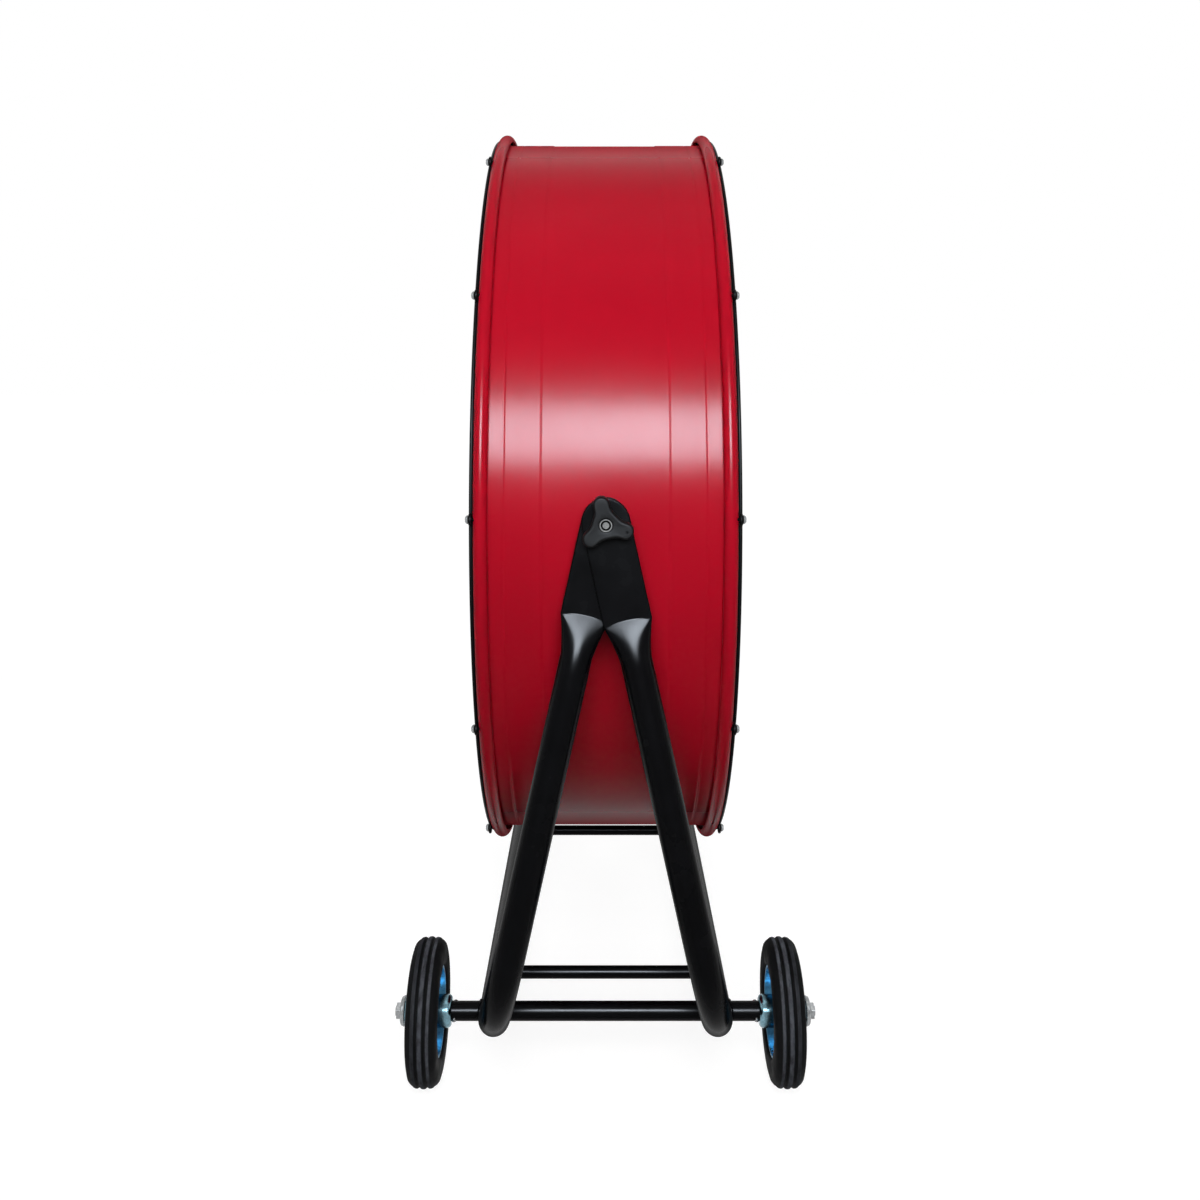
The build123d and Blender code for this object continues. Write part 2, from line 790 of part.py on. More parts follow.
def pivot_boss():
    """Flanged spacer of the near side, welded to the drum's wall."""
    y0 = waist_outside + seat_gap
    y1 = inner_face - seat_gap
    flange = rod_y(boss_flange_radius, y0, y0 + boss_flange_thickness)
    sleeve = rod_y(boss_radius, y0, y1)
    hole = rod_y(bolt_radius + bolt_bore_gap, y0 - 1, y1 + 1)
    return lift(far(flange.fuse(sleeve).cut(hole)))


def pivot_bolt():
    """Carriage bolt from inside the drum, out through the plates and the knob."""
    y0 = waist_inside - seat_gap
    shank = rod_y(bolt_radius, y0 - 1, knob_base() + knob_thickness - bolt_end_inset)
    head = rod_y(bolt_head_radius, y0 - bolt_head_height, y0)
    return lift(far(shank.fuse(fillet(head.edges(), bolt_head_round))))


def knob_base():
    return outer_face + washer_thickness + 2 * stack_gap


def pivot_washer():
    y0 = outer_face + stack_gap
    washer = rod_y(washer_radius, y0, y0 + washer_thickness)
    return lift(far(washer.cut(rod_y(bolt_radius + bolt_bore_gap, y0 - 1, y0 + 5))))


def knob():
    """Three-lobed clamping knob of the near side."""
    core = Circle(knob_core_radius)
    reach = knob_lobe_reach - knob_lobe_radius
    outline = core
    for k in range(3):
        spoke = Pos(0, reach / 2) * Rectangle(2 * knob_lobe_radius * knob_spoke_share, reach)
        lobe = spoke + Pos(0, reach) * Circle(knob_lobe_radius)
        outline += Rot(0, 0, knob_turn + 120 * k) * lobe
    outline = fillet(outline.vertices(), knob_hollow_fillet)
    body = extrude(outline, knob_thickness)
    body = fillet(body.faces().sort_by(Axis.Z)[-1].edges(), knob_edge_fillet)
    body = body.cut(Cylinder(insert_radius + seat_gap, 4 * knob_thickness))
    hole = Rot(0, 0, knob_turn - 120) * Pos(0, reach + cord_hole_offset, knob_thickness)
    body = body.cut(hole * Cylinder(cord_hole_radius, 2 * cord_hole_depth))
    return lift(Pos(0, -knob_base(), 0) * (Rot(90, 0, 0) * body))


def knob_insert():
    y0 = knob_base()
    y1 = y0 + knob_thickness - insert_inset
    ring = rod_y(insert_radius, y0, y1)
    bore = rod_y(bolt_radius + bolt_bore_gap, y0 - 1, y1 + 1)
    return lift(far(ring.cut(bore, rod_y(insert_recess_radius, y1 - insert_recess_depth, y1 + 1))))


# ---- braces and bearings

def brace(x):
    """Square tube across the drum; its ends follow the wall."""
    z1 = brace_top - pivot_height
    z0 = z1 - brace_height
    half = brace_width / 2
    bar = box(x - half, x + half, -drum_radius, drum_radius, z0, z1)
    w = brace_wall
    bar = bar.cut(box(x - half + w, x + half - w, -2 * drum_radius, 2 * drum_radius, z0 + w, z1 - w))
    bar = common(bar, rod_x(waist_inside - seat_gap, x - half - 1, x + half + 1))
    holes = [rod_z(bearing_bolt_radius + seat_gap, z0 - 1, z1 + 1, x, s * bearing_bolt_spacing / 2)
             for s in (-1, 1)]
    return lift(bar.cut(*holes))


def bearing_housing(x):
    z0 = -bearing_height + thread_gap
    base = Pos(x, 0, z0 + bearing_base_height / 2) * Box(
        bearing_width, bearing_base_length, bearing_base_height)
    base = fillet(base.edges().filter_by(Axis.Z), bearing_base_corner)
    ring = rod_x(bearing_housing_radius, x - bearing_width / 2, x + bearing_width / 2)
    column = box(x - bearing_width / 2, x + bearing_width / 2, -bearing_housing_radius,
                 bearing_housing_radius, z0 + 1, 0)
    body = base.fuse(ring, column)
    cutters = [rod_x(bearing_insert_radius + thread_gap, x - bearing_width, x + bearing_width)]
    for s in (-1, 1):
        cutters.append(rod_z(bearing_bolt_radius + seat_gap, z0 - 1, z0 + bearing_height, x,
                             s * bearing_bolt_spacing / 2))
    return lift(body.cut(*cutters))


def bearing_insert(x):
    half = bearing_insert_width / 2
    ring = rod_x(bearing_insert_radius, x - half, x + half)
    groove = rod_x(seal_outer_radius, -seal_depth, seal_depth)
    groove = groove.cut(rod_x(seal_inner_radius, -2 * seal_depth, 2 * seal_depth))
    seals = [Pos(x + s * half, 0, 0) * groove for s in (-1, 1)]
    return lift(ring.cut(rod_x(bore_radius, x - 2 * half, x + 2 * half), *seals))


def bearing_bolts():
    bolts = []
    low = -bearing_height - brace_height
    high = -bearing_height + bearing_base_height + seat_gap
    for x in (front_brace_x, rear_brace_x):
        for s in (-1, 1):
            y = s * bearing_bolt_spacing / 2
            shank = rod_z(bearing_bolt_radius, low - bearing_bolt_tail, high + 1, x, y)
            hexagon = RegularPolygon(bearing_hexagon, 6)
            head = Pos(x, y, high) * extrude(hexagon, bearing_head_height)
            nut_z = low - seat_gap - bearing_nut_height
            nut = Pos(x, y, nut_z) * extrude(hexagon, bearing_nut_height)
            bolts.append(lift(shank.fuse(head, nut)))
    return bolts


# ---- fan

def blade_share(radius):
    return (radius - root_radius) / (tip_radius - root_radius)


def arc_section(radius, width, low, high):
    """Curved strip across a blade at a radius: width along the chord, between two depths."""
    share = blade_share(radius)
    chord = root_chord + (tip_chord - root_chord) * share
    pitch = math.radians(root_pitch + (tip_pitch - root_pitch) * share)
    rise = camber * chord
    bend = (chord ** 2 / 4 + rise ** 2) / (2 * rise)
    half = math.asin(min(1.0, (width or chord) / 2 / bend))
    plane = Plane(origin=(blade_x, 0, radius), x_dir=(math.sin(pitch), math.cos(pitch), 0),
                  z_dir=(0, 0, 1))

    def point(depth, angle):
        r = bend + depth
        return plane.from_local_coords(
            Vector(r * math.sin(angle), r * math.cos(angle) - bend, 0))
    top = ThreePointArc(point(high, -half), point(high, 0), point(high, half))
    low_arc = ThreePointArc(point(low, half), point(low, 0), point(low, -half))
    ends = [Line(point(high, half), point(low, half)), Line(point(low, -half), point(high, -half))]
    return Face(Wire([top, ends[0], low_arc, ends[1]]))


def stations(last):
    step = (tip_radius + blade_overrun - root_radius) / (blade_stations - 1)
    radii = [root_radius + k * step for k in range(blade_stations)]
    inner = [r for r in radii if r < last - 1]
    return inner + [last]


def rivet_radii():
    step = (arm_reach - root_radius - 2 * rivet_margin) / (rivets_per_blade - 1)
    return [root_radius + rivet_margin + k * step for k in range(rivets_per_blade)]


def rivet(radius, shank, heads=True):
    """Rivet through arm and blade, square to the chord."""
    pitch = math.radians(root_pitch + (tip_pitch - root_pitch) * blade_share(radius))
    out = Vector(-math.cos(pitch), math.sin(pitch), 0)
    low = -arm_gap - arm_thickness - seat_gap
    high = blade_thickness + seat_gap
    place = Plane(origin=Vector(blade_x, 0, radius) + out * low, z_dir=out)
    body = Pos(0, 0, (high - low) / 2) * Cylinder(shank, high - low + 2)
    if heads:
        head = Cylinder(2 * shank, rivet_head_height)
        body = body.fuse(Pos(0, 0, -1) * head, Pos(0, 0, high - low + 1) * head)
    return place * body


def blade(turn):
    last = tip_radius + blade_overrun
    sheet_faces = [arc_section(r, None, 0, blade_thickness) for r in stations(last)]
    body = common(loft(sheet_faces, ruled=True), rod_x(tip_radius, -tip_chord, 2 * tip_chord))
    body = body.cut(*rivet_holes())
    return lift(around_x(body, turn))


def rivet_holes():
    return [rivet(r, rivet_radius + rivet_hole_gap, False) for r in rivet_radii()]


def fan_hub():
    boss = rod_x(fan_boss_radius, blade_x - fan_boss_length / 2, blade_x + fan_boss_length / 2)
    faces = [arc_section(r, arm_width, -arm_gap - arm_thickness, -arm_gap)
             for r in stations(arm_reach)]
    outer = loft(faces, ruled=True).cut(*rivet_holes())
    root = extrude(faces[0], root_radius - fan_boss_radius / 2, dir=(0, 0, -1))
    arm = outer.fuse(root)
    arms = [around_x(arm, 360 / blade_count * k) for k in range(blade_count)]
    bore = rod_x(shaft_radius + press_gap, blade_x - fan_boss_length, blade_x + fan_boss_length)
    return lift(boss.fuse(*arms).cut(bore))


def blade_rivets():
    rivets = []
    for k in range(blade_count):
        for radius in rivet_radii():
            rivets.append(lift(around_x(rivet(radius, rivet_radius), 360 / blade_count * k)))
    return rivets


# ---- belt drive

def groove_profile(radius, gap):
    """V groove corners below a pulley's edge, with a gap round the belt."""
    slope = math.tan(math.radians(belt_angle))
    depth = belt_inset + belt_depth + groove_floor_room
    top = belt_width / 2 + gap / math.cos(math.radians(belt_angle)) + belt_inset * slope
    floor = top - depth * slope
    return [(-top, radius), (-floor, radius - depth), (floor, radius - depth), (top, radius)]


def pulley(radius, bore, hub_r, hub_length):
    half = pulley_width / 2
    inside = radius - pulley_rim_depth
    rim_points = [(-half, inside), (-half, radius)]
    rim_points += groove_profile(radius, belt_gap)
    rim_points += [(half, radius), (half, inside)]
    body = lathe_x(rim_points)
    web = rod_x(inside + 1, -pulley_web / 2, pulley_web / 2)
    boss = rod_x(hub_r, -half, -half + hub_length)
    body = body.fuse(web, boss)
    cutters = [rod_x(bore, -hub_length, hub_length)]
    room = (inside - hub_r) / 2
    if room > pulley_room:
        hole = rod_x(room * pulley_hole_share, -pulley_web, pulley_web, 0, hub_r + room)
        cutters += [around_x(hole, 360 / pulley_holes * k) for k in range(pulley_holes)]
    return body.cut(*cutters)


def belt():
    top = belt_width / 2
    low = top - belt_depth * math.tan(math.radians(belt_angle))
    reach = motor_drop
    big = fan_pulley_radius - belt_inset
    small = motor_pulley_radius - belt_inset
    tilt = math.degrees(math.asin((big - small) / reach))
    run_length = math.sqrt(reach ** 2 - (big - small) ** 2)

    def face(radius):
        points = [(-top, radius, 0), (top, radius, 0), (low, radius - belt_depth, 0),
                  (-low, radius - belt_depth, 0)]
        return Face(Wire.make_polygon([Vector(*p) for p in points], close=True))
    wrap_big = Rot(-tilt, 0, 0) * revolve(face(big), Axis.X, 180 + 2 * tilt)
    wrap_small = Rot(180 + tilt, 0, 0) * revolve(face(small), Axis.X, 180 - 2 * tilt)
    straight = Rot(-tilt, 0, 0) * extrude(face(big), run_length, dir=(0, 0, -1))
    pieces = [wrap_big, straight, mirror(straight, about=Plane.XZ), Pos(0, 0, -reach) * wrap_small]
    return lift(Pos(pulley_x, 0, 0) * pieces[0].fuse(*pieces[1:]))


# ---- motor

def motor_casing():
    x0 = motor_rear_x + cover_length
    x1 = motor_front_x - cover_length
    shell = rod_x(motor_radius, x0, x1).cut(rod_x(motor_radius - motor_wall, x0 - 1, x1 + 1))
    rib = box(x0 + rib_inset, x1 - rib_inset, -rib_half, rib_half, motor_radius - 1,
              motor_radius + rib_height)
    ribs = [around_x(rib, 360 / casing_ribs * k) for k in range(casing_ribs)]
    plate_top = -motor_radius - cradle_drop + thread_gap
    foot_top = plate_top + motor_foot_z
    foot0, foot1 = motor_middle() - motor_foot_x, motor_middle() + motor_foot_x
    foot = box(foot0, foot1, -motor_foot_y, motor_foot_y, plate_top, foot_top)
    webs = [box(foot0, foot1, s * motor_web_y - motor_web_half, s * motor_web_y + motor_web_half,
                plate_top + 1, -motor_radius * motor_web_rise) for s in (-1, 1)]
    inside = rod_x(motor_radius - motor_wall, x0 - 1, x1 + 1)
    holes = [rod_z(motor_bolt_radius + seat_gap, plate_top - 1, foot_top + 1, x, y)
             for x, y in motor_bolt_places()]
    return lift(shell.fuse(foot, *ribs, *webs).cut(inside, *holes), motor_z)


def motor_cover(front):
    """End cover with a bearing seat; the rear one passes the shaft."""
    outer = motor_radius + cover_overhang
    lip = motor_radius - motor_wall - cover_lip
    bore = motor_shaft_radius + running_gap
    face, inside, seat = cover_length, cover_length - cover_wall, cover_length - cover_seat_depth
    boss = cover_length + cover_boss_height
    corner_x, corner_r = cover_corner
    points = [
        (0, lip), (0, outer), (face - cover_edge, outer), (face - corner_x, outer - corner_r),
        (face, outer - cover_face_drop), (face, cover_boss_radius),
        (boss, cover_boss_radius - cover_boss_taper), (boss, bore), (seat, bore),
        (seat, cover_seat_radius), (inside, cover_boss_radius),
        (inside, outer - cover_face_drop - corner_x),
        (inside - motor_wall, outer - corner_r - motor_wall), (cover_wall, lip),
    ]
    low, high, half = cover_slot
    slot = box(seat, face + 1, -half, half, low, high)
    slots = [around_x(slot, 360 / cover_slots * k) for k in range(cover_slots)]
    cover = lathe_x(points).cut(*slots)
    if front:
        return lift(Pos(motor_front_x - cover_length + seat_gap, 0, 0) * cover, motor_z)
    return lift(Pos(motor_rear_x + cover_length - seat_gap, 0, 0) * mirrored(cover), motor_z)


def motor_middle():
    return (motor_front_x + motor_rear_x) / 2


def motor_bolt_places():
    x = motor_middle()
    dx, dy = motor_bolt_spots
    return [(x + sx * dx, sy * dy) for sx in (-1, 1) for sy in (-1, 1)]


def round_cradle(shape):
    """Four copies of a piece built under the drum's axis, at the cradle's corners."""
    inset_x, inset_y = cradle_bolt_inset
    turn = math.degrees(math.asin((cradle_half_width - inset_y) / waist_inside))
    reach = cradle_length / 2 - inset_x
    return [around_x(Pos(motor_middle() + s * reach, 0, 0) * shape, t * turn)
            for s in (-1, 1) for t in (-1, 1)]


def cradle_bolt_holes():
    hole = rod_z(motor_bolt_radius + seat_gap, -drum_radius - 5,
                 -waist_inside + 2 * flange_thickness)
    return round_cradle(hole)


def motor_cradle():
    """Folded plate on the drum's inside, whose flanges follow the wall."""
    x = motor_middle()
    half = cradle_length / 2
    top = motor_z - motor_radius - cradle_drop - pivot_height
    seat = waist_inside - seat_gap
    room = rod_x(seat, x - half - 1, x + half + 1)
    plate = box(x - half, x + half, -cradle_half_width, cradle_half_width, top - cradle_plate, top)
    sides = [box(x - half, x + half, s * cradle_half_width - cradle_plate / 2,
                 s * cradle_half_width + cradle_plate / 2, -drum_radius, top) for s in (-1, 1)]
    shell = room.cut(rod_x(seat - flange_thickness, x - half - 2, x + half + 2))
    inner, outer = cradle_half_width - cradle_flange, cradle_half_width
    flanges = [common(shell, box(x - half, x + half, min(s * inner, s * outer),
                                 max(s * inner, s * outer), -drum_radius, top)) for s in (-1, 1)]
    body = common(plate.fuse(*sides), room).fuse(*flanges)
    holes = [rod_z(motor_bolt_radius + seat_gap, top - cradle_plate - 1, top + 1, bx, by)
             for bx, by in motor_bolt_places()]
    return lift(body.cut(*holes, *cradle_bolt_holes()))


def motor_bolts():
    """Four that hold the motor to the cradle and four that hold the cradle to the drum."""
    r = motor_bolt_radius
    hexagon = RegularPolygon(motor_hexagon, 6)
    top = motor_z - motor_radius - cradle_drop
    head_z = top + motor_foot_z + seat_gap
    nut_z = top - cradle_plate - seat_gap - motor_nut_height
    bolts = []
    for x, y in motor_bolt_places():
        shank = rod_z(r, top - cradle_plate - motor_bolt_tail, head_z + 1, x, y)
        head = Pos(x, y, head_z) * extrude(hexagon, motor_head_height)
        nut = Pos(x, y, nut_z) * extrude(hexagon, motor_nut_height)
        bolts.append(shank.fuse(head, nut))
    wall = -waist_outside - bolt_seat_gap
    head = rod_z(2 * r, wall - round_head_height, wall)
    nut_z = -waist_inside + seat_gap + flange_thickness + bolt_seat_gap
    nut = Pos(0, 0, nut_z) * extrude(hexagon, motor_nut_height)
    bolt = head.fuse(rod_z(r, wall - 1, nut_z + motor_bolt_tail), nut)
    return bolts + [lift(piece) for piece in round_cradle(bolt)]


def hollow_box(width, depth, height, y0, corner):
    """Closed thin box from y0 outwards, centred on x = 0 and z = 0."""
    w = box_wall
    body = box(-width / 2, width / 2, y0, y0 + depth, -height / 2, height / 2)
    body = fillet(body.edges().filter_by(Axis.Y), corner)
    return body.cut(box(-width / 2 + w, width / 2 - w, y0 + w, y0 + depth - w,
                        -height / 2 + w, height / 2 - w))


def terminal_box():
    sx, sy, sz = terminal_box_size
    y0 = motor_radius + rib_height + terminal_box_gap
    y1 = y0 + sy
    body = hollow_box(sx, sy, sz, y0, terminal_box_corner)
    neck = rod_y(outlet_radius, y1 - 1, y1 + outlet_length)
    bore = rod_y(cable_radius + cable_hole_gap, y1 - 2 * box_wall, y1 + outlet_length + 1)
    body = body.fuse(neck).cut(bore)
    return lift(Pos(cable_x, 0, 0) * body, motor_z)


def motor_stator():
    r = motor_radius - motor_wall - stator_gap
    half = (motor_front_x - motor_rear_x) / 2 - cover_length - stator_inset
    x = motor_middle()
    ring = rod_x(r, x - half, x + half)
    return lift(ring.cut(rod_x(rotor_radius + rotor_gap, x - half - 1, x + half + 1)), motor_z)


def motor_shaft():
    x0 = pulley_x - pulley_width / 2 - shaft_nose
    shaft = rod_x(motor_shaft_radius, x0, motor_front_x + shaft_tail)
    inset = cover_length + rotor_inset
    rotor = rod_x(rotor_radius, motor_rear_x + inset, motor_front_x - inset)
    return lift(shaft.fuse(rotor), motor_z)


# ---- switch and cable

def on_far_wall(shape, angle, x=switch_x):
    """Turn a piece built at the far pivot up the drum's wall."""
    return lift(around_x(Pos(x, 0, 0) * shape, angle))


def switch_box():
    sx, sy, sz = switch_box_size
    y1 = math.sqrt(waist_inside ** 2 - (sz / 2) ** 2) - seat_gap
    body = hollow_box(sx, sy, sz, y1 - sy, switch_box_corner)
    neck = rod_y(2 * spindle_radius, y1 - 1, waist_inside - seat_gap)
    low = -sz / 2 - outlet_length
    outlet = rod_z(outlet_radius, low, -sz / 2 + 1, 0, cable_y())
    body = body.fuse(neck, outlet)
    bore = rod_z(cable_radius + cable_hole_gap, low - 1, -sz / 2 + 2 * box_wall, 0, cable_y())
    spindle = rod_y(spindle_radius + spindle_gap, y1 - 2 * box_wall, wall_inside)
    return on_far_wall(body.cut(bore, spindle), switch_angle)


def cable_y():
    return math.sqrt((wall_inside - cable_lift) ** 2 - outlet_end() ** 2)


def outlet_end():
    return switch_box_size[2] / 2 + outlet_length


def switch_dial():
    """Plate on the outside of the wall, bent to it, with raised marks at 0, 1 and 2."""
    sx, sy, sz = dial_size
    r0 = waist_outside + seat_gap
    sleeve = rod_x(r0 + sy, -sx / 2, sx / 2).cut(rod_x(r0, -sx, sx))
    plate = common(sleeve, box(-sx / 2, sx / 2, 0, drum_radius + 20, -sz / 2, sz / 2))
    marks = []
    for k, turn in enumerate((0.0, 45.0, 90.0)):
        mark = box(-mark_half, mark_half, r0 + sy / 2, r0 + sy + mark_rise, mark_radius,
                   mark_radius + mark_length + mark_step * k)
        marks.append(Rot(0, turn, 0) * mark)
    hole = rod_y(spindle_radius + spindle_wall_gap, r0 - 1, r0 + sy + 1)
    return on_far_wall(plate.fuse(*marks).cut(hole), switch_angle)


def switch_knob():
    y0 = waist_outside + seat_gap + dial_size[1] + switch_knob_gap
    top = y0 + switch_knob_height
    body = rod_y(switch_knob_radius, y0, top)
    body = fillet(body.edges().sort_by(Axis.Y)[-1], switch_knob_round)
    flute = rod_y(flute_radius, y0 + flute_radius, top + 1, switch_knob_radius + flute_out)
    flutes = [Rot(0, 360 / flute_count * k, 0) * flute for k in range(flute_count)]
    pointer = box(-pointer_half, pointer_half, top - 1, top + pointer_rise, pointer_start,
                  switch_knob_radius - 1)
    spindle = rod_y(spindle_radius, waist_inside - spindle_reach, y0 + 2)
    return on_far_wall(body.cut(*flutes).fuse(pointer, spindle), switch_angle)


def cable_gland():
    """Strain relief in the wall that a mains cord would come in by."""
    nut_y = waist_inside - gland_gap - gland_nut
    flange_y = waist_outside + gland_gap
    tail_y = flange_y + gland_flange
    wide, narrow = gland_radius + gland_step, gland_radius - gland_step
    hexagon = extrude(RegularPolygon(wide, 6), gland_nut)
    nut = Pos(0, nut_y, 0) * (Rot(-90, 0, 0) * hexagon)
    neck = rod_y(narrow, nut_y - gland_step, flange_y + 1)
    flange = rod_y(wide, flange_y, tail_y)
    cone = Rot(-90, 0, 0) * Cone(gland_radius, gland_radius - gland_taper, gland_reach)
    tail = Pos(0, tail_y + gland_reach / 2, 0) * cone
    bore = rod_y(gland_bore, nut_y - gland_nut, tail_y + gland_reach + 1)
    return on_far_wall(neck.fuse(nut, flange, tail).cut(bore), gland_angle, gland_x)


def motor_cable():
    """Cable along the drum's inside from the switch box to the motor's terminal box."""
    r = wall_inside - cable_lift
    start_angle = switch_angle - math.degrees(math.atan2(outlet_end(), cable_y()))
    end = math.radians(cable_end_angle)
    first = math.radians(start_angle)
    middle = (first + end) / 2

    def on_wall(a):
        return Vector(0, r * math.cos(a), r * math.sin(a))
    wall_arc = ThreePointArc(on_wall(first), on_wall(middle), on_wall(end))
    box_face = motor_radius + rib_height + terminal_box_gap + terminal_box_size[1] + box_wall
    leave = Vector(0, math.sin(end), -math.cos(end))
    entry = Vector(0, box_face, -motor_drop)
    reach = (on_wall(end).Z - entry.Z) / -leave.Z
    corner = on_wall(end) + leave * reach
    turn = FilletPolyline(on_wall(end), corner, entry, radius=cable_bend)
    path = Wire([wall_arc, *turn.edges()])
    start = Plane(origin=path @ 0, z_dir=path % 0)
    tube = sweep(start * Circle(cable_radius), path)
    return lift(Pos(cable_x, 0, 0) * tube)


def cable_clip(angle):
    """Steel saddle over the cable, riveted to the wall."""
    r0 = waist_inside - seat_gap
    centre = wall_inside - cable_lift
    outer = cable_radius + clip_wall
    w = clip_half
    loop = rod_z(outer, -w, w, 0, centre)
    strap = box(-cable_radius - clip_tab, outer, r0 - clip_wall, r0, -w, w)
    side = box(-outer, outer, centre, r0, -w, w)
    body = loop.fuse(side, strap).cut(rod_z(cable_radius + clip_gap, -2 * w, 2 * w, 0, centre))
    return lift(around_x(Pos(cable_x, 0, 0) * body, angle))


# ---- writing the parts

def pair(build):
    return [build(-1), build(1)]


def near_and_far(shape):
    return [shape, far(shape)]


def make_stand():
    save("left_frame_tube", frame_tube(-1, -1))
    save("right_frame_tube", frame_tube(1, 1))
    save("near_crossbar", cross_bar(near_bar_y, near_bar_lift))
    save("middle_crossbar", cross_bar(middle_bar_y))
    save("handle_bar", handle_bar())
    save("handle_grip", handle_grip())
    save("foot_posts", *pair(foot_post))
    save("rubber_feet", *pair(rubber_foot))
    save("axle_tube", axle_tube())
    save("axle_studs", *pair(axle_stud))
    save("axle_end_washers", *pair(end_washer))
    save("axle_end_nuts", *pair(end_nut))
    save("axle_stop_pins", *pair(stop_pin))


def make_wheels():
    for name, side in (("left", -1), ("right", 1)):
        save(f"{name}_wheel_tyre", tyre(side))
        save(f"{name}_wheel_rim", rim(side))
        save(f"{name}_wheel_hub", wheel_hub(side))


def make_drum():
    save("drum_shell", drum_shell())
    front = guard()
    save("front_guard", front)
    save("rear_guard", mirrored(front))
    save("guard_screws", *guard_screws())


def make_pivots():
    save("pivot_bosses", *near_and_far(pivot_boss()))
    save("pivot_bolts", *near_and_far(pivot_bolt()))
    save("pivot_washers", *near_and_far(pivot_washer()))
    save("near_knob", knob())
    save("near_knob_insert", knob_insert())
    save("far_knob", far(knob()))
    save("far_knob_insert", far(knob_insert()))


def make_fan():
    save("front_brace", brace(front_brace_x))
    save("rear_brace", brace(rear_brace_x))
    save("front_bearing_housing", bearing_housing(front_brace_x))
    save("rear_bearing_housing", bearing_housing(rear_brace_x))
    save("bearing_inserts", bearing_insert(front_brace_x), bearing_insert(rear_brace_x))
    save("bearing_bolts", *bearing_bolts())
    save("fan_shaft", lift(rod_x(shaft_radius, shaft_rear_x, shaft_front_x)))
    save("fan_hub", fan_hub())
    for k in range(blade_count):
        save(f"fan_blade_{k + 1}", blade(360 / blade_count * k))
    save("blade_rivets", *blade_rivets())


def make_drive():
    big = pulley(fan_pulley_radius, shaft_radius + press_gap, fan_pulley_hub,
                 pulley_width + fan_pulley_hub_extra)
    small = pulley(motor_pulley_radius, motor_shaft_radius + press_gap, motor_pulley_hub,
                   pulley_width)
    save("fan_pulley", lift(Pos(pulley_x, 0, 0) * big))
    save("motor_pulley", lift(Pos(pulley_x, 0, 0) * small, motor_z))
    save("drive_belt", belt())
    save("motor_casing", motor_casing())
    save("motor_front_cover", motor_cover(True))
    save("motor_rear_cover", motor_cover(False))
    save("motor_shaft", motor_shaft())
    save("motor_stator", motor_stator())
    save("motor_cradle", motor_cradle())
    save("motor_bolts", *motor_bolts())
    save("motor_terminal_box", terminal_box())


def make_switch():
    save("switch_box", switch_box())
    save("switch_dial", switch_dial())
    save("switch_knob", switch_knob())
    save("cable_gland", cable_gland())
    save("motor_cable", motor_cable())
    save("cable_clips", *[cable_clip(a) for a in clip_angles])


os.makedirs("parts", exist_ok=True)
make_stand()
make_wheels()
make_drum()
make_pivots()
make_fan()
make_drive()
make_switch()
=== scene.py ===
import json
import math

import bmesh
import bpy
from mathutils import Matrix, Vector

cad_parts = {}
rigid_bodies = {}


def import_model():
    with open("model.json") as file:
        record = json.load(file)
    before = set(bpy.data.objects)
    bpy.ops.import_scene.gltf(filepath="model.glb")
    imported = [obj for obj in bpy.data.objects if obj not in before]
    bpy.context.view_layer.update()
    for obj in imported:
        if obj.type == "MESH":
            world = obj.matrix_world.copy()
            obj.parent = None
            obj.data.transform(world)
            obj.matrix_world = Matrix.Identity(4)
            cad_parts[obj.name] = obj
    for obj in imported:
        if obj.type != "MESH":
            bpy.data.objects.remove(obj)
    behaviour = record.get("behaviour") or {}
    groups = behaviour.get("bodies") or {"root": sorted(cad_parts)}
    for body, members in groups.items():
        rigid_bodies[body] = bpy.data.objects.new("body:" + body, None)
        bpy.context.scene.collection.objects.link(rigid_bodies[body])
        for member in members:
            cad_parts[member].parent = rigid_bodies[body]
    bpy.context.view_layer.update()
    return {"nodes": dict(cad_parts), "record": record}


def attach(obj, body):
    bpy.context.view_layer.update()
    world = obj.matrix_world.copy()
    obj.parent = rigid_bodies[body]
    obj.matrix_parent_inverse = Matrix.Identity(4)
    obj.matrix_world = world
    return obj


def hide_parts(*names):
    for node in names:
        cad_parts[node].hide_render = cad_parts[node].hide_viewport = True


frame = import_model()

# A 42 inch class drum fan on a tilting stand with two wheels. Metres, Z up.
# X runs along the drum's axis, Y across the stand (the wheels are at -Y).

# ---- drum
DRUM_RADIUS = 0.550  # outside of the wall
DRUM_ABOVE_FLOOR = 0.197
PIVOT_Z = DRUM_ABOVE_FLOOR + DRUM_RADIUS
DRUM_SEGMENTS = 360
SHEET = 0.0015
CURL_RADIUS = 0.00825  # middle line of the rolled edge
CURL_X = 0.1555
CURL_ARC = 278.0
CURL_INNER_STEPS = 22
CURL_OUTER_STEPS = 26
WALL_END = 0.006  # from the wall's last corner to the middle of the rolled edge
WAIST_X = 0.080  # half width of the middle zone
WAIST_DROP = 0.0008
WAIST_RAMP = 0.002
GROOVE_X = 0.128
GROOVE_HALF = 0.0014
GROOVE_DEPTH = 0.0006

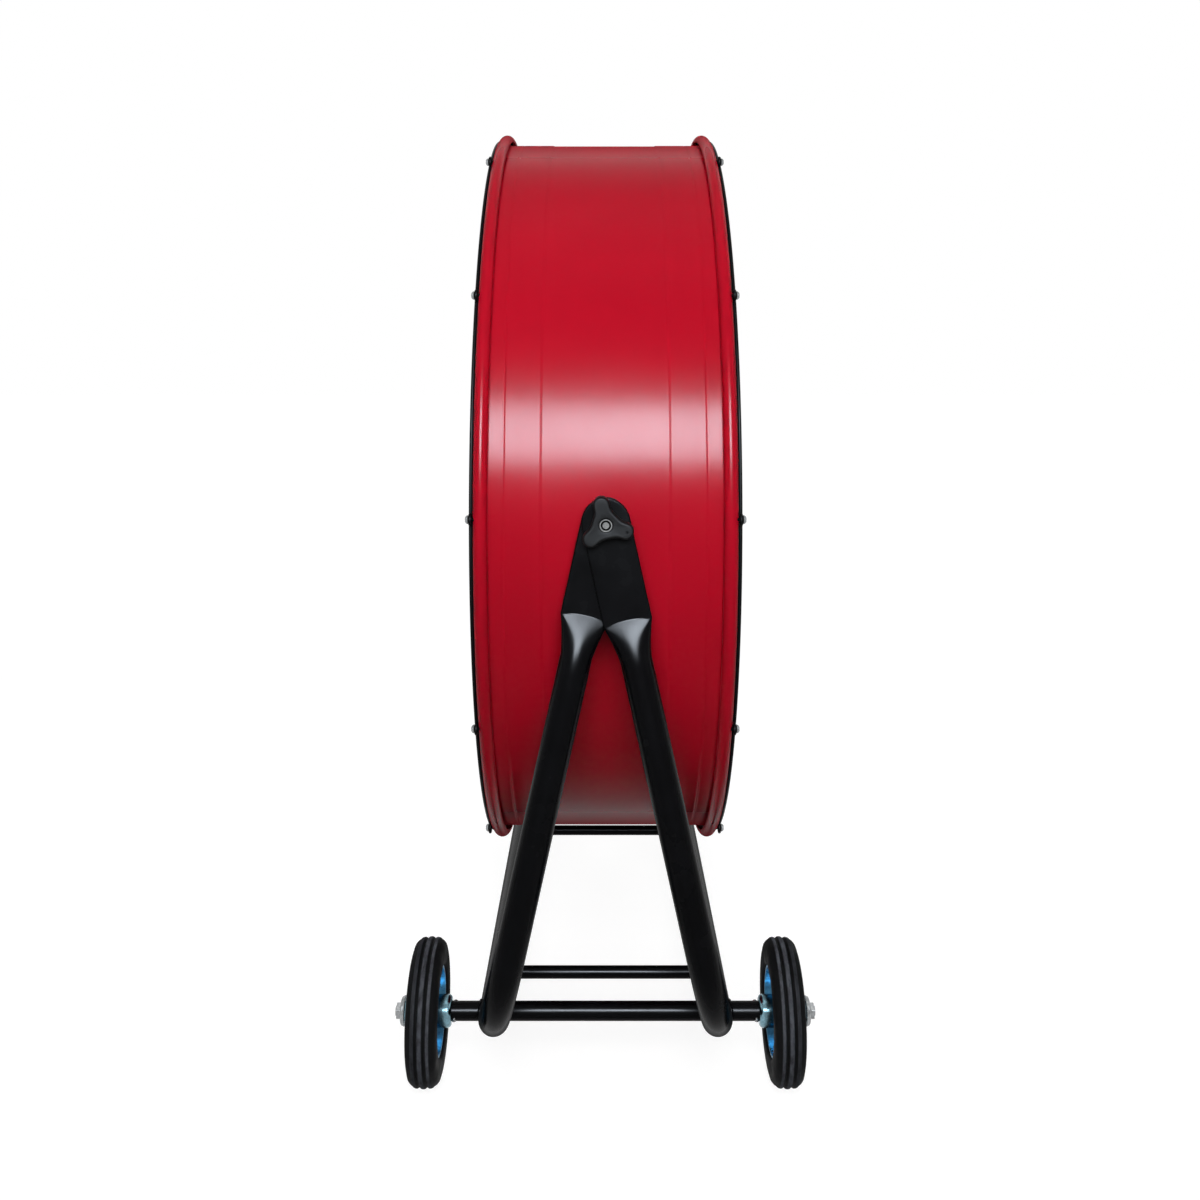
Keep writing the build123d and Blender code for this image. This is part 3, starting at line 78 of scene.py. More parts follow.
# ---- guards
GUARD_X = 0.1649  # where a guard's rim starts
RING_RADIUS = DRUM_RADIUS + 0.005
RIM_WIRE = 0.0047
RIM_STEPS = 240
WIRE = 0.0034
RINGS = 17
RING_STEPS = 144
RING_LIFT = 0.62  # middle of a ring over the dome's face, in wires
DOME = 0.026
RIBS = 12
RIB_RADIUS = 0.55 * WIRE
RIB_LIFT = 0.25  # middle of a rib over the dome's face, in wires
RIB_STEPS = 24
RIB_OVERLAP = 0.004  # of a rib inside EYE_RADIUS
RIB_END = 0.001  # from a rib's end to the rim's middle
EYELET_WIRE = 0.0044
EYELET_RADIUS = 0.0082
EYE_RADIUS = 0.070  # where the rings stop, around the plate in the middle
EYE_REACH = EYE_RADIUS + 0.001
EYE_LIFT = 0.0006  # the plate's seat over the wires
EYE_OUTSIDE = ((0.0, 0.0), (0.0008, 0.030), (0.0005, 0.045), (-0.0006, 0.062), (-0.0010, EYE_REACH))
EYE_INSIDE = ((-0.0024, EYE_REACH), (-0.0022, 0.062), (-0.0012, 0.045), (-0.0012, 0.0))

# ---- guard screws
SCREW_CIRCLE = DRUM_RADIUS + 0.011
SCREW_TURN = 37.0  # degrees from one cross recess to the next
SCREW_SHANK = 0.0022
SCREW_LENGTH = 0.016
SCREW_TIP = 0.0002  # its blunt point
UNDER_HEAD_X = GUARD_X + RIM_WIRE + 0.00035
HEAD_RADIUS = 0.0056
HEAD_HEIGHT = 0.0040
HEAD_CROWN = 0.92  # share of the height over the head's edge
HEAD_POWERS = (2.6, 0.55)  # of the crown's curve
HEAD_EDGE = 0.0002
HEAD_RINGS = 15
HEAD_SEGMENTS = 48
CROSS_ARM = 0.00085  # half width of the cross recess
CROSS_REACH = 0.0031
CROSS_DEPTH = 0.0016
CROSS_RUN = 0.0012  # along which an arm's end runs out
CROSS_WALL = 0.0003  # width of an arm's sloping side
CROSS_RIM = 0.35  # share of the depth at the side's top

# ---- stand
WHEEL_RADIUS = 0.089  # and the axle's height
TUBE_RADIUS = 0.0195
LEG_Y = DRUM_RADIUS + 0.040
LEG_LEAN = math.radians(12.5)
RUN_Z = WHEEL_RADIUS + 0.003  # middle of the bottom runs
RUN_DEPTH = (PIVOT_Z - RUN_Z) / math.cos(LEG_LEAN)
RUN_X = (PIVOT_Z - RUN_Z) * math.tan(LEG_LEAN)
BEND_RADIUS = 0.135
BEND_STEPS = 18
BAR_RADIUS = 0.0085
BAR_EDGE = 0.0004
BAR_BITE = 0.0012  # how far a bar's end reaches into a run's side
NEAR_BAR_Y = -(LEG_Y - 0.220)
NEAR_BAR_LIFT = 0.0025  # above the middle of the runs
MIDDLE_BAR_Y = 0.155
BARS = (("near", NEAR_BAR_Y, NEAR_BAR_LIFT), ("middle", MIDDLE_BAR_Y, 0.0))
SEAM_STEPS = 40
WELD_RADIUS = 0.0024
WELD_SIDES = 8
RIPPLE = 0.16  # a weld's ripples as shares of its radius, and paces in radians a ring
RIPPLE_PACE = 2.4
FINE_RIPPLE = 0.08
FINE_PACE = 5.1

# ---- flattened ends of the legs
PLATE_WIDTH = 0.060
PLATE_THICK = 0.0044
PLATE_GAP = 0.0003  # between the plates of two legs
PLATE_OFFSET = (PLATE_THICK + PLATE_GAP) / 2  # plate's middle to the legs' plane
PLATE_LENGTH = 0.121  # from the pivot to the crease, on the mean
PLATE_ROWS = (0.03, 0.06, 0.09)  # depths below the pivot
TOP_STEPS = 8  # from the plate's rounded top down to the pivot
CREASE_SHIFT = 0.0025  # right legs' creases lie that much lower, left legs' higher
CREASE_BOW = 0.0038  # how far the crease rises in its middle
CREASE_STEP = 0.0003  # how far the edge under it stands out
CREASE_DROP = 0.0009  # from the crease down to that edge
FLARE_LENGTH = 0.046  # along which the leg narrows from the plate to the tube
FLARE_SWELL = 0.10  # how far its outline bows inwards, as a share of the narrowing
FLARE_SLOPE = 0.285  # mean slope of a flare's face
FLARE_CURVE = 1.7  # 1 is a straight face from the crease to the tube
FLARE_HALF_ANGLE = 20.0  # degrees of tube that the flare's flat face ends on
FLARE_STEPS = 18
FACE_CURVE = 3.0  # how soon that face narrows, where 1 is straight
FLAT_POINTS = 13  # corners along each flat face of a section
ROUND_POINTS = 15  # corners inside each rounded side

# ---- axle and wheels
WHEEL_X = 0.2325
AXLE_Y = -(LEG_Y - BEND_RADIUS + 0.007)
AXLE_RADIUS = 0.012
TYRE_HALF = 0.020
TYRE_INNER = 0.055
TYRE_BEAD = ((0.0045, 0.0), (0.0018, 0.0012), (0.0006, 0.004), (0.0001, 0.009))  # inset, height
TYRE_SHOULDER = ((0.0, 0.018), (0.0004, 0.012), (0.0018, 0.0072), (0.0039, 0.0048))  # inset, depth
TREAD_HALF = 0.0145
TREAD_GROOVE = 0.0016  # half width
TREAD_DEPTH = 0.0035
TREAD_CROWN = 0.0020  # fall of the tread from its middle to its edges
GROOVE_ROUND = 0.0004  # rise of a groove's floor beside its middle
RIB_PITCH = 2 * TREAD_HALF / 3
RIB_ROUND = 0.0011  # fall of each rib from its middle to its edges
RIB_FACES = 8  # across each rib
HIGHLIGHT_HALF = 0.0016  # half width of the painted grey highlight band on a side rib
HIGHLIGHT_MORE = 0.0008  # more on the middle rib, and the painted highlight's faint edge
RIM_GAP = 0.0002  # rim to tyre, and rim to hub
RIM_INSET = 0.004  # from the tyre's side to the rim's
RIM_SHEET = 0.0025
HUB_RADIUS = 0.020
HUB_INNER_X = WHEEL_X - 0.0315
HUB_OUTER_X = WHEEL_X + 0.0285
HUB_GAP = 0.0001
HUB_EDGE = 0.0012
HUB_DOME = 0.0055  # rounding of the hub's inner end
AXLE_HALF = HUB_OUTER_X + 0.001
WASHER_GAP = 0.0003
WASHER_RADIUS = 0.0184
WASHER_THICK = 0.006
WASHER_EDGE = 0.0004
WASHER_SIDE = 0.0018  # height of its straight side
WASHER_FOLD = (0.0026, 0.0006)  # where the dish starts: height, inset
WASHER_DISH = (0.0032, 0.0044)  # the dish's height and width
END_HOLE = 0.0063
PIN_RADIUS = 0.003
PIN_REACH = 0.015
PIN_DOME = 0.6  # height of its domed end, in radii
PIN_GAP = 0.0005  # hub to pin
PIN_TURN = 120.0  # degrees, near end forward and a little down

# ---- knobs
KNOB_GAP = 0.0018  # outer plate to knob, over the washer
KNOB_Y = LEG_Y + PLATE_OFFSET + PLATE_THICK / 2 + KNOB_GAP
KNOB_THICK = 0.022
KNOB_REACH = 0.0345
KNOB_LOBE = 0.0100
KNOB_CORE = 0.0150
KNOB_SOFT = 0.009  # how far the core and the lobes run into each other
KNOB_TURN = 13.0
KNOB_BORE = 0.0081
KNOB_EDGE = 0.0030
KNOB_FOOT = ((0.0, -0.0012), (0.0008, -0.0002), (0.002, 0.0))  # height, distance from the outline
KNOB_SEGMENTS = 180
KNOB_DISH = 0.0004  # fall of its face from the edge to the bore
BORE_ROUND = 0.0014
CORD_HOLE_RADIUS = 0.0016
CORD_HOLE_DEPTH = 0.006
CORD_HOLE_OFFSET = 0.002  # outwards from the middle of the lobe's end
DRILL_START = 0.004  # over the knob's face
INSERT_RADIUS = 0.0079
INSERT_INSET = 0.0008  # below the knob's face
INSERT_EDGE = 0.0004
INSERT_HOLE = 0.0041
INSERT_RECESS = 0.0061
INSERT_RECESS_EDGE = 0.0003
INSERT_FLOOR = 0.009

SIDES = (("left", -1), ("right", 1))
ROUND_STEPS = 6  # on a small rounding's quarter circle
WELD_DISTANCE = 1e-6  # corners nearer than this are one


# ---- mesh helpers

class Build:
    """Corners, faces and sharp edges of one piece."""

    def __init__(self):
        self.points = []
        self.faces = []
        self.sharp = []

    def add(self, points, faces, sharp=()):
        first = len(self.points)
        self.points += [tuple(p) for p in points]
        self.faces += [tuple(first + i for i in face) for face in faces]
        self.sharp += [(first + a, first + b) for a, b in sharp]

    def add_copy(self, other, matrix):
        self.add([matrix @ Vector(p) for p in other.points], other.faces, other.sharp)

    def mesh(self, name, angle, smooth=True):
        """Mesh with corners in one place joined, sharp at marked edges and past the angle."""
        mesh = bpy.data.meshes.new(name)
        mesh.from_pydata(self.points, [], self.faces)
        marked = {frozenset(pair) for pair in self.sharp}
        work = bmesh.new()
        work.from_mesh(mesh)
        for edge in work.edges:
            edge.smooth = frozenset(v.index for v in edge.verts) not in marked
        bmesh.ops.remove_doubles(work, verts=work.verts, dist=WELD_DISTANCE)
        bmesh.ops.recalc_face_normals(work, faces=work.faces)
        limit = math.radians(angle)
        for edge in work.edges:
            if len(edge.link_faces) == 2 and edge.calc_face_angle() > limit:
                edge.smooth = False
        for face in work.faces:
            face.smooth = smooth
        work.to_mesh(mesh)
        work.free()
        return mesh

    def piece(self, name, body, slot, nodes=(), angle=40.0, material=None):
        """Object that rides a body in place of the nodes. Its slot's material is the usual one."""
        thing = in_scene(name, self.mesh(name, angle))
        thing.data.materials.append(material or MATERIALS[slot])
        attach(thing, body)
        if nodes:
            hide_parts(*nodes)
        return thing


def in_scene(name, data):
    thing = bpy.data.objects.new(name, data)
    bpy.context.scene.collection.objects.link(thing)
    return thing


def grid_faces(rows, columns, wrap_rows=False):
    """Faces between rows of corners that close on themselves."""
    faces = []
    for i in range(rows if wrap_rows else rows - 1):
        for j in range(columns):
            a, b = i * columns + j, i * columns + (j + 1) % columns
            c, d = ((i + 1) % rows) * columns + (j + 1) % columns, ((i + 1) % rows) * columns + j
            faces.append((a, b, c, d))
    return faces


def lathe(build, outline, centre, segments, closed=True, side=1):
    """Turns an outline of (along X, radius) about an X axis through centre; side -1 mirrors it."""
    points = []
    for x, r in outline:
        for k in range(segments):
            a = 2 * math.pi * k / segments
            points.append((centre[0] + side * x, centre[1] + r * math.cos(a), centre[2] + r * math.sin(a)))
    build.add(points, grid_faces(len(outline), segments, wrap_rows=closed))


def frames(path, closed):
    """A pair of cross directions at each point of a path, without twist."""
    count = len(path)
    result = []
    normal = None
    for i in range(count):
        before = path[i - 1] if (i or closed) else path[0]
        after = path[(i + 1) % count] if (i < count - 1 or closed) else path[-1]
        tangent = (after - before).normalized()
        if normal is None:
            guide = Vector((1, 0, 0)) if abs(tangent.x) < 0.9 else Vector((0, 0, 1))
            normal = guide.cross(tangent).normalized()
        normal = (normal - tangent * normal.dot(tangent)).normalized()
        result.append((normal.copy(), tangent.cross(normal)))
    return result


def tube(build, path, radius, sides, closed=False):
    """Round bar along a path. An open one gets flat ends."""
    path = [Vector(p) for p in path]
    points = []
    for place, (u, v) in zip(path, frames(path, closed)):
        for k in range(sides):
            a = 2 * math.pi * k / sides
            points.append(place + u * (radius * math.cos(a)) + v * (radius * math.sin(a)))
    faces = grid_faces(len(path), sides, wrap_rows=closed)
    if not closed:
        last = (len(path) - 1) * sides
        faces += [tuple(reversed(range(sides))), tuple(range(last, last + sides))]
    build.add(points, faces)


def arc(centre, radius, start, end, steps):
    """Points (x, y) on an arc, angles in degrees."""
    result = []
    for k in range(steps + 1):
        a = math.radians(start + (end - start) * k / steps)
        result.append((centre[0] + radius * math.cos(a), centre[1] + radius * math.sin(a)))
    return result


def circle_path(centre, radius, steps):
    """Points of a circle about an X axis through centre."""
    result = []
    for k in range(steps):
        a = 2 * math.pi * k / steps
        result.append(Vector(centre) + Vector((0, radius * math.cos(a), radius * math.sin(a))))
    return result


def quarter_turn(steps):
    """Angles from 0 to a right angle, in radians."""
    return [math.pi / 2 * k / steps for k in range(steps + 1)]


def around_drum(k):
    """Turns by k ribs about the drum's axis."""
    middle = Matrix.Translation((0, 0, PIVOT_Z))
    return middle @ Matrix.Rotation(math.radians(360 / RIBS * k), 4, "X") @ middle.inverted()


MIRROR_X = Matrix.Scale(-1, 4, (1, 0, 0))
MIRROR_Y = Matrix.Scale(-1, 4, (0, 1, 0))


# ---- materials

def fill(node, **values):
    """Sets inputs of a shader node. An underscore stands for the space in an input's name."""
    for name, value in values.items():
        node.inputs[name.replace("_", " ")].default_value = value


class Tree:
    """Shader nodes of a material or a world."""

    def __init__(self, owner):
        owner.use_nodes = True
        self.nodes = owner.node_tree.nodes
        self.links = owner.node_tree.links

    def new(self, kind):
        return self.nodes.new("ShaderNode" + kind)

    def link(self, a, b):
        self.links.new(a, b)


class Shader(Tree):
    """A Principled material whose colour, roughness and bump come from noise."""

    def __init__(self, name, roughness=0.5, metallic=0.0, index=1.5):
        self.material = bpy.data.materials.new(name)
        super().__init__(self.material)
        self.surface = self.nodes["Principled BSDF"]
        fill(self.surface, Roughness=roughness, Metallic=metallic, IOR=index)
        self.place = self.new("TexCoord").outputs["Object"]
        self.last_bump = None

    def noise(self, scale, detail=3.0, rough=0.55, stretch=None):
        texture = self.new("TexNoise")
        fill(texture, Scale=scale, Detail=detail, Roughness=rough)
        source = self.place
        if stretch:
            mapping = self.new("Mapping")
            fill(mapping, Scale=stretch)
            self.link(source, mapping.inputs["Vector"])
            source = mapping.outputs["Vector"]
        self.link(source, texture.inputs["Vector"])
        return texture.outputs["Fac"]

    def colour(self, value, *stops):
        """Colours by a value, with stops of (position, colour)."""
        node = self.new("ValToRGB")
        elements = node.color_ramp.elements
        while len(elements) < len(stops):
            elements.new(0.5)
        for element, (position, colour) in zip(elements, stops):
            element.position = position
            element.color = (*colour, 1.0)
        self.link(value, node.inputs["Fac"])
        self.link(node.outputs["Color"], self.surface.inputs["Base Color"])

    def tint(self, value, colour, spread):
        """A colour that gets darker and lighter by a share of itself."""
        shades = [tuple(min(1.0, c * k) for c in colour) for k in (1 - spread, 1.0, 1 + spread)]
        self.colour(value, *zip((0.32, 0.5, 0.68), shades))

    def spread(self, value, start, end, low, high, kind="LINEAR"):
        """Turns a value between start and end into one between low and high."""
        node = self.new("MapRange")
        node.interpolation_type = kind
        fill(node, From_Min=start, From_Max=end, To_Min=low, To_Max=high)
        self.link(value, node.inputs["Value"])
        return node.outputs["Result"]

    def roughness(self, value, low, high):
        self.link(self.spread(value, 0.3, 0.7, low, high), self.surface.inputs["Roughness"])

    def soften_edges(self, start):
        """Makes a coat rougher at a glancing look, as its fine texture does."""
        facing = self.new("LayerWeight").outputs["Facing"]
        both = self.new("Math")
        both.operation = "MAXIMUM"
        self.link(self.surface.inputs["Roughness"].links[0].from_socket, both.inputs[0])
        self.link(self.spread(facing, start, 1.0, 0.0, 0.7, "SMOOTHSTEP"), both.inputs[1])
        self.link(both.outputs["Value"], self.surface.inputs["Roughness"])

    def bump(self, value, distance, strength):
        node = self.new("Bump")
        fill(node, Distance=distance, Strength=strength)
        self.link(value, node.inputs["Height"])
        if self.last_bump:
            self.link(self.last_bump, node.inputs["Normal"])
        self.last_bump = node.outputs["Normal"]
        self.link(self.last_bump, self.surface.inputs["Normal"])


PAINT_INDEX = 1.105  # the white room's reflection stays faint, as on the real coats
SOFT_INDEX = 1.12


def red_paint():
    s = Shader("red_powder_coat", index=PAINT_INDEX)
    s.tint(s.noise(5.0, detail=4.0), (0.46, 0.0045, 0.018), spread=0.05)
    s.roughness(s.noise(9.0, detail=5.0, rough=0.6), low=0.19, high=0.24)
    s.soften_edges(start=0.55)
    s.bump(s.noise(900.0, detail=2.0), distance=0.00012, strength=0.35)
    s.bump(s.noise(7.0, detail=2.0, stretch=(3.0, 1.0, 1.0)), distance=0.004, strength=0.10)
    return s.material


def black_gloss():
    s = Shader("black_gloss_coat", index=PAINT_INDEX)
    s.tint(s.noise(14.0, detail=4.0), (0.0022, 0.0023, 0.0030), spread=0.25)
    s.roughness(s.noise(22.0, detail=4.0), low=0.20, high=0.30)
    s.soften_edges(start=0.55)
    s.bump(s.noise(700.0, detail=2.0), distance=0.0001, strength=0.25)
    return s.material


def black_satin():
    s = Shader("black_satin_coat", index=PAINT_INDEX)
    s.tint(s.noise(20.0, detail=4.0), (0.003, 0.003, 0.0035), spread=0.25)
    s.roughness(s.noise(30.0, detail=4.0), low=0.36, high=0.48)
    s.bump(s.noise(800.0, detail=2.0), distance=0.0001, strength=0.3)
    return s.material


def zinc(name, colour, low=0.12, high=0.22):
    s = Shader(name, metallic=1.0)
    s.tint(s.noise(110.0, detail=6.0, rough=0.75), colour, spread=0.40)
    s.roughness(s.noise(90.0, detail=5.0), low, high)
    s.bump(s.noise(260.0, detail=4.0), distance=0.0002, strength=0.25)
    return s.material


def tyre_rubber():
    s = Shader("tyre_rubber", index=PAINT_INDEX)
    s.tint(s.noise(70.0, detail=5.0), (0.0035, 0.0035, 0.0038), spread=0.3)
    s.roughness(s.noise(50.0, detail=5.0), low=0.55, high=0.8)
    s.bump(s.noise(400.0, detail=4.0), distance=0.0003, strength=0.4)
    return s.material


def rib_highlight_rubber(name, highlight_level):
    """Painted grey highlight on the tread's ribs; the second argument is how light it is."""
    s = Shader(name, index=SOFT_INDEX)
    # greys of the painted highlight, scaled by the second argument
    stops = ((0.30, (0.025, 0.026, 0.029)), (0.5, (0.060, 0.065, 0.076)), (0.75, (0.10, 0.11, 0.125)))
    s.colour(s.noise(130.0, detail=6.0, rough=0.7, stretch=(1.0, 0.35, 0.35)),
             *[(place, tuple(highlight_level * c for c in colour)) for place, colour in stops])
    s.roughness(s.noise(60.0, detail=5.0), low=0.65, high=0.9)
    s.bump(s.noise(500.0, detail=4.0), distance=0.0004, strength=0.6)
    return s.material


def soft_rubber(name):
    s = Shader(name, index=SOFT_INDEX)
    s.tint(s.noise(40.0, detail=5.0), (0.010, 0.010, 0.011), spread=0.25)
    s.roughness(s.noise(50.0, detail=4.0), low=0.6, high=0.8)
    s.bump(s.noise(600.0), distance=0.0002, strength=0.4)
    return s.material


def moulded(name, colour, low, high, grain=0.4):
    s = Shader(name, index=SOFT_INDEX)
    s.tint(s.noise(25.0, detail=4.0), colour, spread=0.12)
    s.roughness(s.noise(40.0, detail=4.0), low, high)
    s.bump(s.noise(1100.0), distance=0.00015, strength=grain)
    return s.material


def cast(name, colour):
    s = Shader(name, roughness=0.55, metallic=0.1, index=1.2)
    s.tint(s.noise(45.0, detail=6.0, rough=0.7), colour, spread=0.2)
    s.roughness(s.noise(60.0, detail=5.0), low=0.45, high=0.7)
    s.bump(s.noise(320.0, detail=5.0, rough=0.65), distance=0.0006, strength=0.5)
    return s.material


def rolled_sheet(name, colour):
    """Bare sheet with fine marks along the rolling direction."""
    s = Shader(name, metallic=1.0)
    s.tint(s.noise(18.0, detail=5.0), colour, spread=0.10)
    s.roughness(s.noise(80.0, detail=5.0, rough=0.7, stretch=(1.0, 0.06, 1.0)), low=0.28, high=0.46)
    s.bump(s.noise(420.0, stretch=(1.0, 0.05, 1.0)), distance=0.0001, strength=0.3)
    return s.material


MATERIALS = {
    "drum_red": red_paint(),
    "stand_black": black_gloss(),
    "guard_black": black_satin(),
    "zinc": zinc("bright_zinc", (0.27, 0.28, 0.285)),
    "blue_zinc": zinc("blue_zinc", (0.075, 0.21, 0.31), 0.26, 0.40),
    "tyre_rubber": tyre_rubber(),
    "foot_rubber": soft_rubber("foot_rubber"),
    "belt_rubber": soft_rubber("belt_rubber"),
    "knob_plastic": moulded("knob_plastic", (0.0055, 0.0055, 0.0055), 0.45, 0.58),
    "box_plastic": moulded("box_plastic", (0.02, 0.02, 0.022), 0.3, 0.42, 0.2),
    "cast_grey": cast("cast_grey", (0.10, 0.105, 0.11)),
    "pulley_grey": cast("pulley_grey", (0.16, 0.16, 0.165)),
    "iron_core": cast("iron_core", (0.20, 0.20, 0.205)),
    "motor_grey": moulded("motor_paint", (0.05, 0.055, 0.062), 0.38, 0.5, 0.3),
    "blade_aluminium": rolled_sheet("blade_sheet", (0.66, 0.67, 0.68)),
    "dial_plate": rolled_sheet("dial_sheet", (0.16, 0.165, 0.175)),
}


def dress_nodes():
    """Gives every node of the frame its slot's material."""
    slots = {part["node"]: part["material_slot"] for part in frame["record"]["subparts"]}
    for name, thing in frame["nodes"].items():
        thing.data.materials.clear()
        thing.data.materials.append(MATERIALS[slots[name]])


# ---- drum

def wall_outline(depth):
    """The wall's line from the middle out, at a depth below its outside."""
    r = DRUM_RADIUS - depth
    waist = r - WAIST_DROP
    return [(0, waist), (WAIST_X - WAIST_RAMP, waist), (WAIST_X, waist), (WAIST_X + WAIST_RAMP, r),
            (WAIST_X + 2 * WAIST_RAMP, r), (GROOVE_X - 2 * GROOVE_HALF, r), (GROOVE_X - GROOVE_HALF, r),
            (GROOVE_X, r - GROOVE_DEPTH), (GROOVE_X + GROOVE_HALF, r), (GROOVE_X + 2 * GROOVE_HALF, r),
            (CURL_X - WALL_END, r)]


def drum_outline():
    """Closed section of the sheet, from one rolled edge to the other."""
    centre = (CURL_X, DRUM_RADIUS - SHEET / 2 + CURL_RADIUS)
    end = CURL_ARC - 90
    outside = wall_outline(0) + arc(centre, CURL_RADIUS - SHEET / 2, -90, end, CURL_INNER_STEPS)
    inside = arc(centre, CURL_RADIUS + SHEET / 2, end, -90, CURL_OUTER_STEPS) + wall_outline(SHEET)[::-1]
    half = outside + inside
    other = [(-x, r) for x, r in reversed(half)]
    return half[1:] + other[1:]


def make_drum():
    build = Build()
    lathe(build, drum_outline(), (0, 0, PIVOT_Z), DRUM_SEGMENTS)
    build.piece("barrel", "drum", "drum_red", ["drum_shell"], angle=60)


# ---- guards

def dome_x(radius):
    """Distance of the guard's dome from the drum's middle plane."""
    ball = (RING_RADIUS ** 2 + DOME ** 2) / (2 * DOME)
    return GUARD_X + DOME - ball + math.sqrt(ball ** 2 - radius ** 2)


def rib_build():
    """One rib, from the guard's middle straight up, with the eyelet for its screw."""
    build = Build()
    inner, outer = EYE_RADIUS - RIB_OVERLAP, RING_RADIUS - RIB_END
    path = []
    for k in range(RIB_STEPS + 1):
        radius = inner + (outer - inner) * k / RIB_STEPS
        path.append((dome_x(radius) + WIRE * RIB_LIFT, 0, PIVOT_Z + radius))
    tube(build, path, RIB_RADIUS, 10)
    eyelet = (GUARD_X + EYELET_WIRE / 2, 0, PIVOT_Z + SCREW_CIRCLE)
    tube(build, circle_path(eyelet, EYELET_RADIUS - EYELET_WIRE / 2, 32), EYELET_WIRE / 2, 12, closed=True)
    return build


def guard_build():
    build = Build()
    step = (RING_RADIUS - EYE_RADIUS) / RINGS
    for ring in range(1, RINGS):
        radius = EYE_RADIUS + ring * step
        centre = (dome_x(radius) + WIRE * RING_LIFT, 0, PIVOT_Z)
        tube(build, circle_path(centre, radius, RING_STEPS), WIRE / 2, 8, closed=True)
    rim = (GUARD_X + RIM_WIRE / 2, 0, PIVOT_Z)
    tube(build, circle_path(rim, RING_RADIUS, RIM_STEPS), RIM_WIRE / 2, 12, closed=True)
    rib = rib_build()
    for k in range(RIBS):
        build.add_copy(rib, around_drum(k))
    seat = (dome_x(EYE_RADIUS) + WIRE + EYE_LIFT, 0, PIVOT_Z)
    lathe(build, EYE_OUTSIDE + EYE_INSIDE, seat, 96, closed=False)
    return build


def make_guards():
    front = guard_build()
    rear = Build()
    rear.add_copy(front, MIRROR_X)
    front.piece("front_grille", "drum", "guard_black", ["front_guard"])
    rear.piece("rear_grille", "drum", "guard_black", ["rear_guard"])


def cross_depth(y, z):
    """Depth of the cross recess at a place on a screw's head."""
    near, far = sorted((abs(y), abs(z)))
    if near >= CROSS_ARM or far >= CROSS_REACH:
        return 0.0
    end = min(1.0, (CROSS_REACH - far) / CROSS_RUN)
    side = min(1.0, (CROSS_ARM - near) / CROSS_WALL + CROSS_RIM)
    return CROSS_DEPTH * end * side


def screw_build():
    """Pan head with a cross recess, and the shank under it."""
    build = Build()
    points = []
    crown, side = HEAD_POWERS
    for i in range(HEAD_RINGS):
        share = i / (HEAD_RINGS - 1)
        radius = HEAD_RADIUS * share
        height = HEAD_HEIGHT * HEAD_CROWN * (1 - share ** crown) ** side + HEAD_EDGE
        for k in range(HEAD_SEGMENTS):
            a = 2 * math.pi * k / HEAD_SEGMENTS
            y, z = radius * math.cos(a), radius * math.sin(a)
            points.append((UNDER_HEAD_X + height - cross_depth(y, z), y, z))
    build.add(points, grid_faces(HEAD_RINGS, HEAD_SEGMENTS))
    under = [(HEAD_EDGE, HEAD_RADIUS), (0.0, HEAD_RADIUS - HEAD_EDGE), (0.0, SCREW_SHANK),
             (SCREW_TIP - SCREW_LENGTH, SCREW_SHANK), (-SCREW_LENGTH, 0.0)]
    lathe(build, under, (UNDER_HEAD_X, 0, 0), HEAD_SEGMENTS, closed=False)
    return build


def make_guard_screws():
    """Screws around both guards. Their shanks have the guards' black coat as painted shade in the narrow gap
    under the heads.
    """
    screw = screw_build()
    place = Matrix.Translation((0, 0, PIVOT_Z + SCREW_CIRCLE))
    build = Build()
    for k in range(RIBS):
        lean = Matrix.Rotation(math.radians(SCREW_TURN * k), 4, "X")
        turned = around_drum(k) @ place @ lean
        build.add_copy(screw, turned)
        build.add_copy(screw, MIRROR_X @ turned)
    thing = build.piece("guard_screw_set", "drum", "zinc", ["guard_screws"], angle=35)
    # black shanks: painted shade in the gap between the eyelet and the rolled edge
    thing.data.materials.append(MATERIALS["guard_black"])
    for polygon in thing.data.polygons:
        if abs(polygon.center.x) < UNDER_HEAD_X - HEAD_EDGE:
            polygon.material_index = 1


# ---- stand

def round_section():
    """Corners of the tube's section; the flat faces run into it around 90 and 270 degrees."""
    half = FLARE_HALF_ANGLE
    angles = []
    for side in (90, 270):
        angles += [side - half + 2 * half * k / (FLAT_POINTS - 1) for k in range(FLAT_POINTS)]
        gap = 180 - 2 * half
        angles += [side + half + gap * (k + 1) / (ROUND_POINTS + 1) for k in range(ROUND_POINTS)]
    return [(TUBE_RADIUS * math.cos(math.radians(a)), TUBE_RADIUS * math.sin(math.radians(a)))
            for a in angles]


def flat_section(width):
    """The plate's section, with the same corners as the round one."""
    edge = PLATE_THICK / 2
    reach = max(width / 2 - edge, 0.0)
    result = []
    for side in (1, -1):
        for k in range(FLAT_POINTS):
            share = 1 - 2 * k / (FLAT_POINTS - 1)
            result.append((side * reach * share, side * edge))
        for k in range(ROUND_POINTS):
            a = math.pi / 2 + math.pi * (k + 1) / (ROUND_POINTS + 1)
            result.append((side * (edge * math.cos(a) - reach), side * edge * math.sin(a)))
    return result


def crease_rise(x):
    """Height of the bowed crease over its ends."""
    reach = (PLATE_WIDTH - PLATE_THICK) / 2
    return CREASE_BOW * max(0.0, 1 - (x / reach) ** 2)


def plate_rows(length, shift):
    """Sections of the flattened end, from its rounded top to the crease."""
    rows = []
    for a in quarter_turn(TOP_STEPS):
        up = PLATE_WIDTH / 2 * math.cos(a)
        half = math.sqrt(max((PLATE_WIDTH / 2) ** 2 - up ** 2, 1e-8))
        rows.append([(x, y + shift, up) for x, y in flat_section(2 * half)])
    flat = flat_section(PLATE_WIDTH)
    for depth in PLATE_ROWS:
        rows.append([(x, y + shift, -depth) for x, y in flat])
    rows.append([(x, y + shift, -length + crease_rise(x)) for x, y in flat])
    return rows


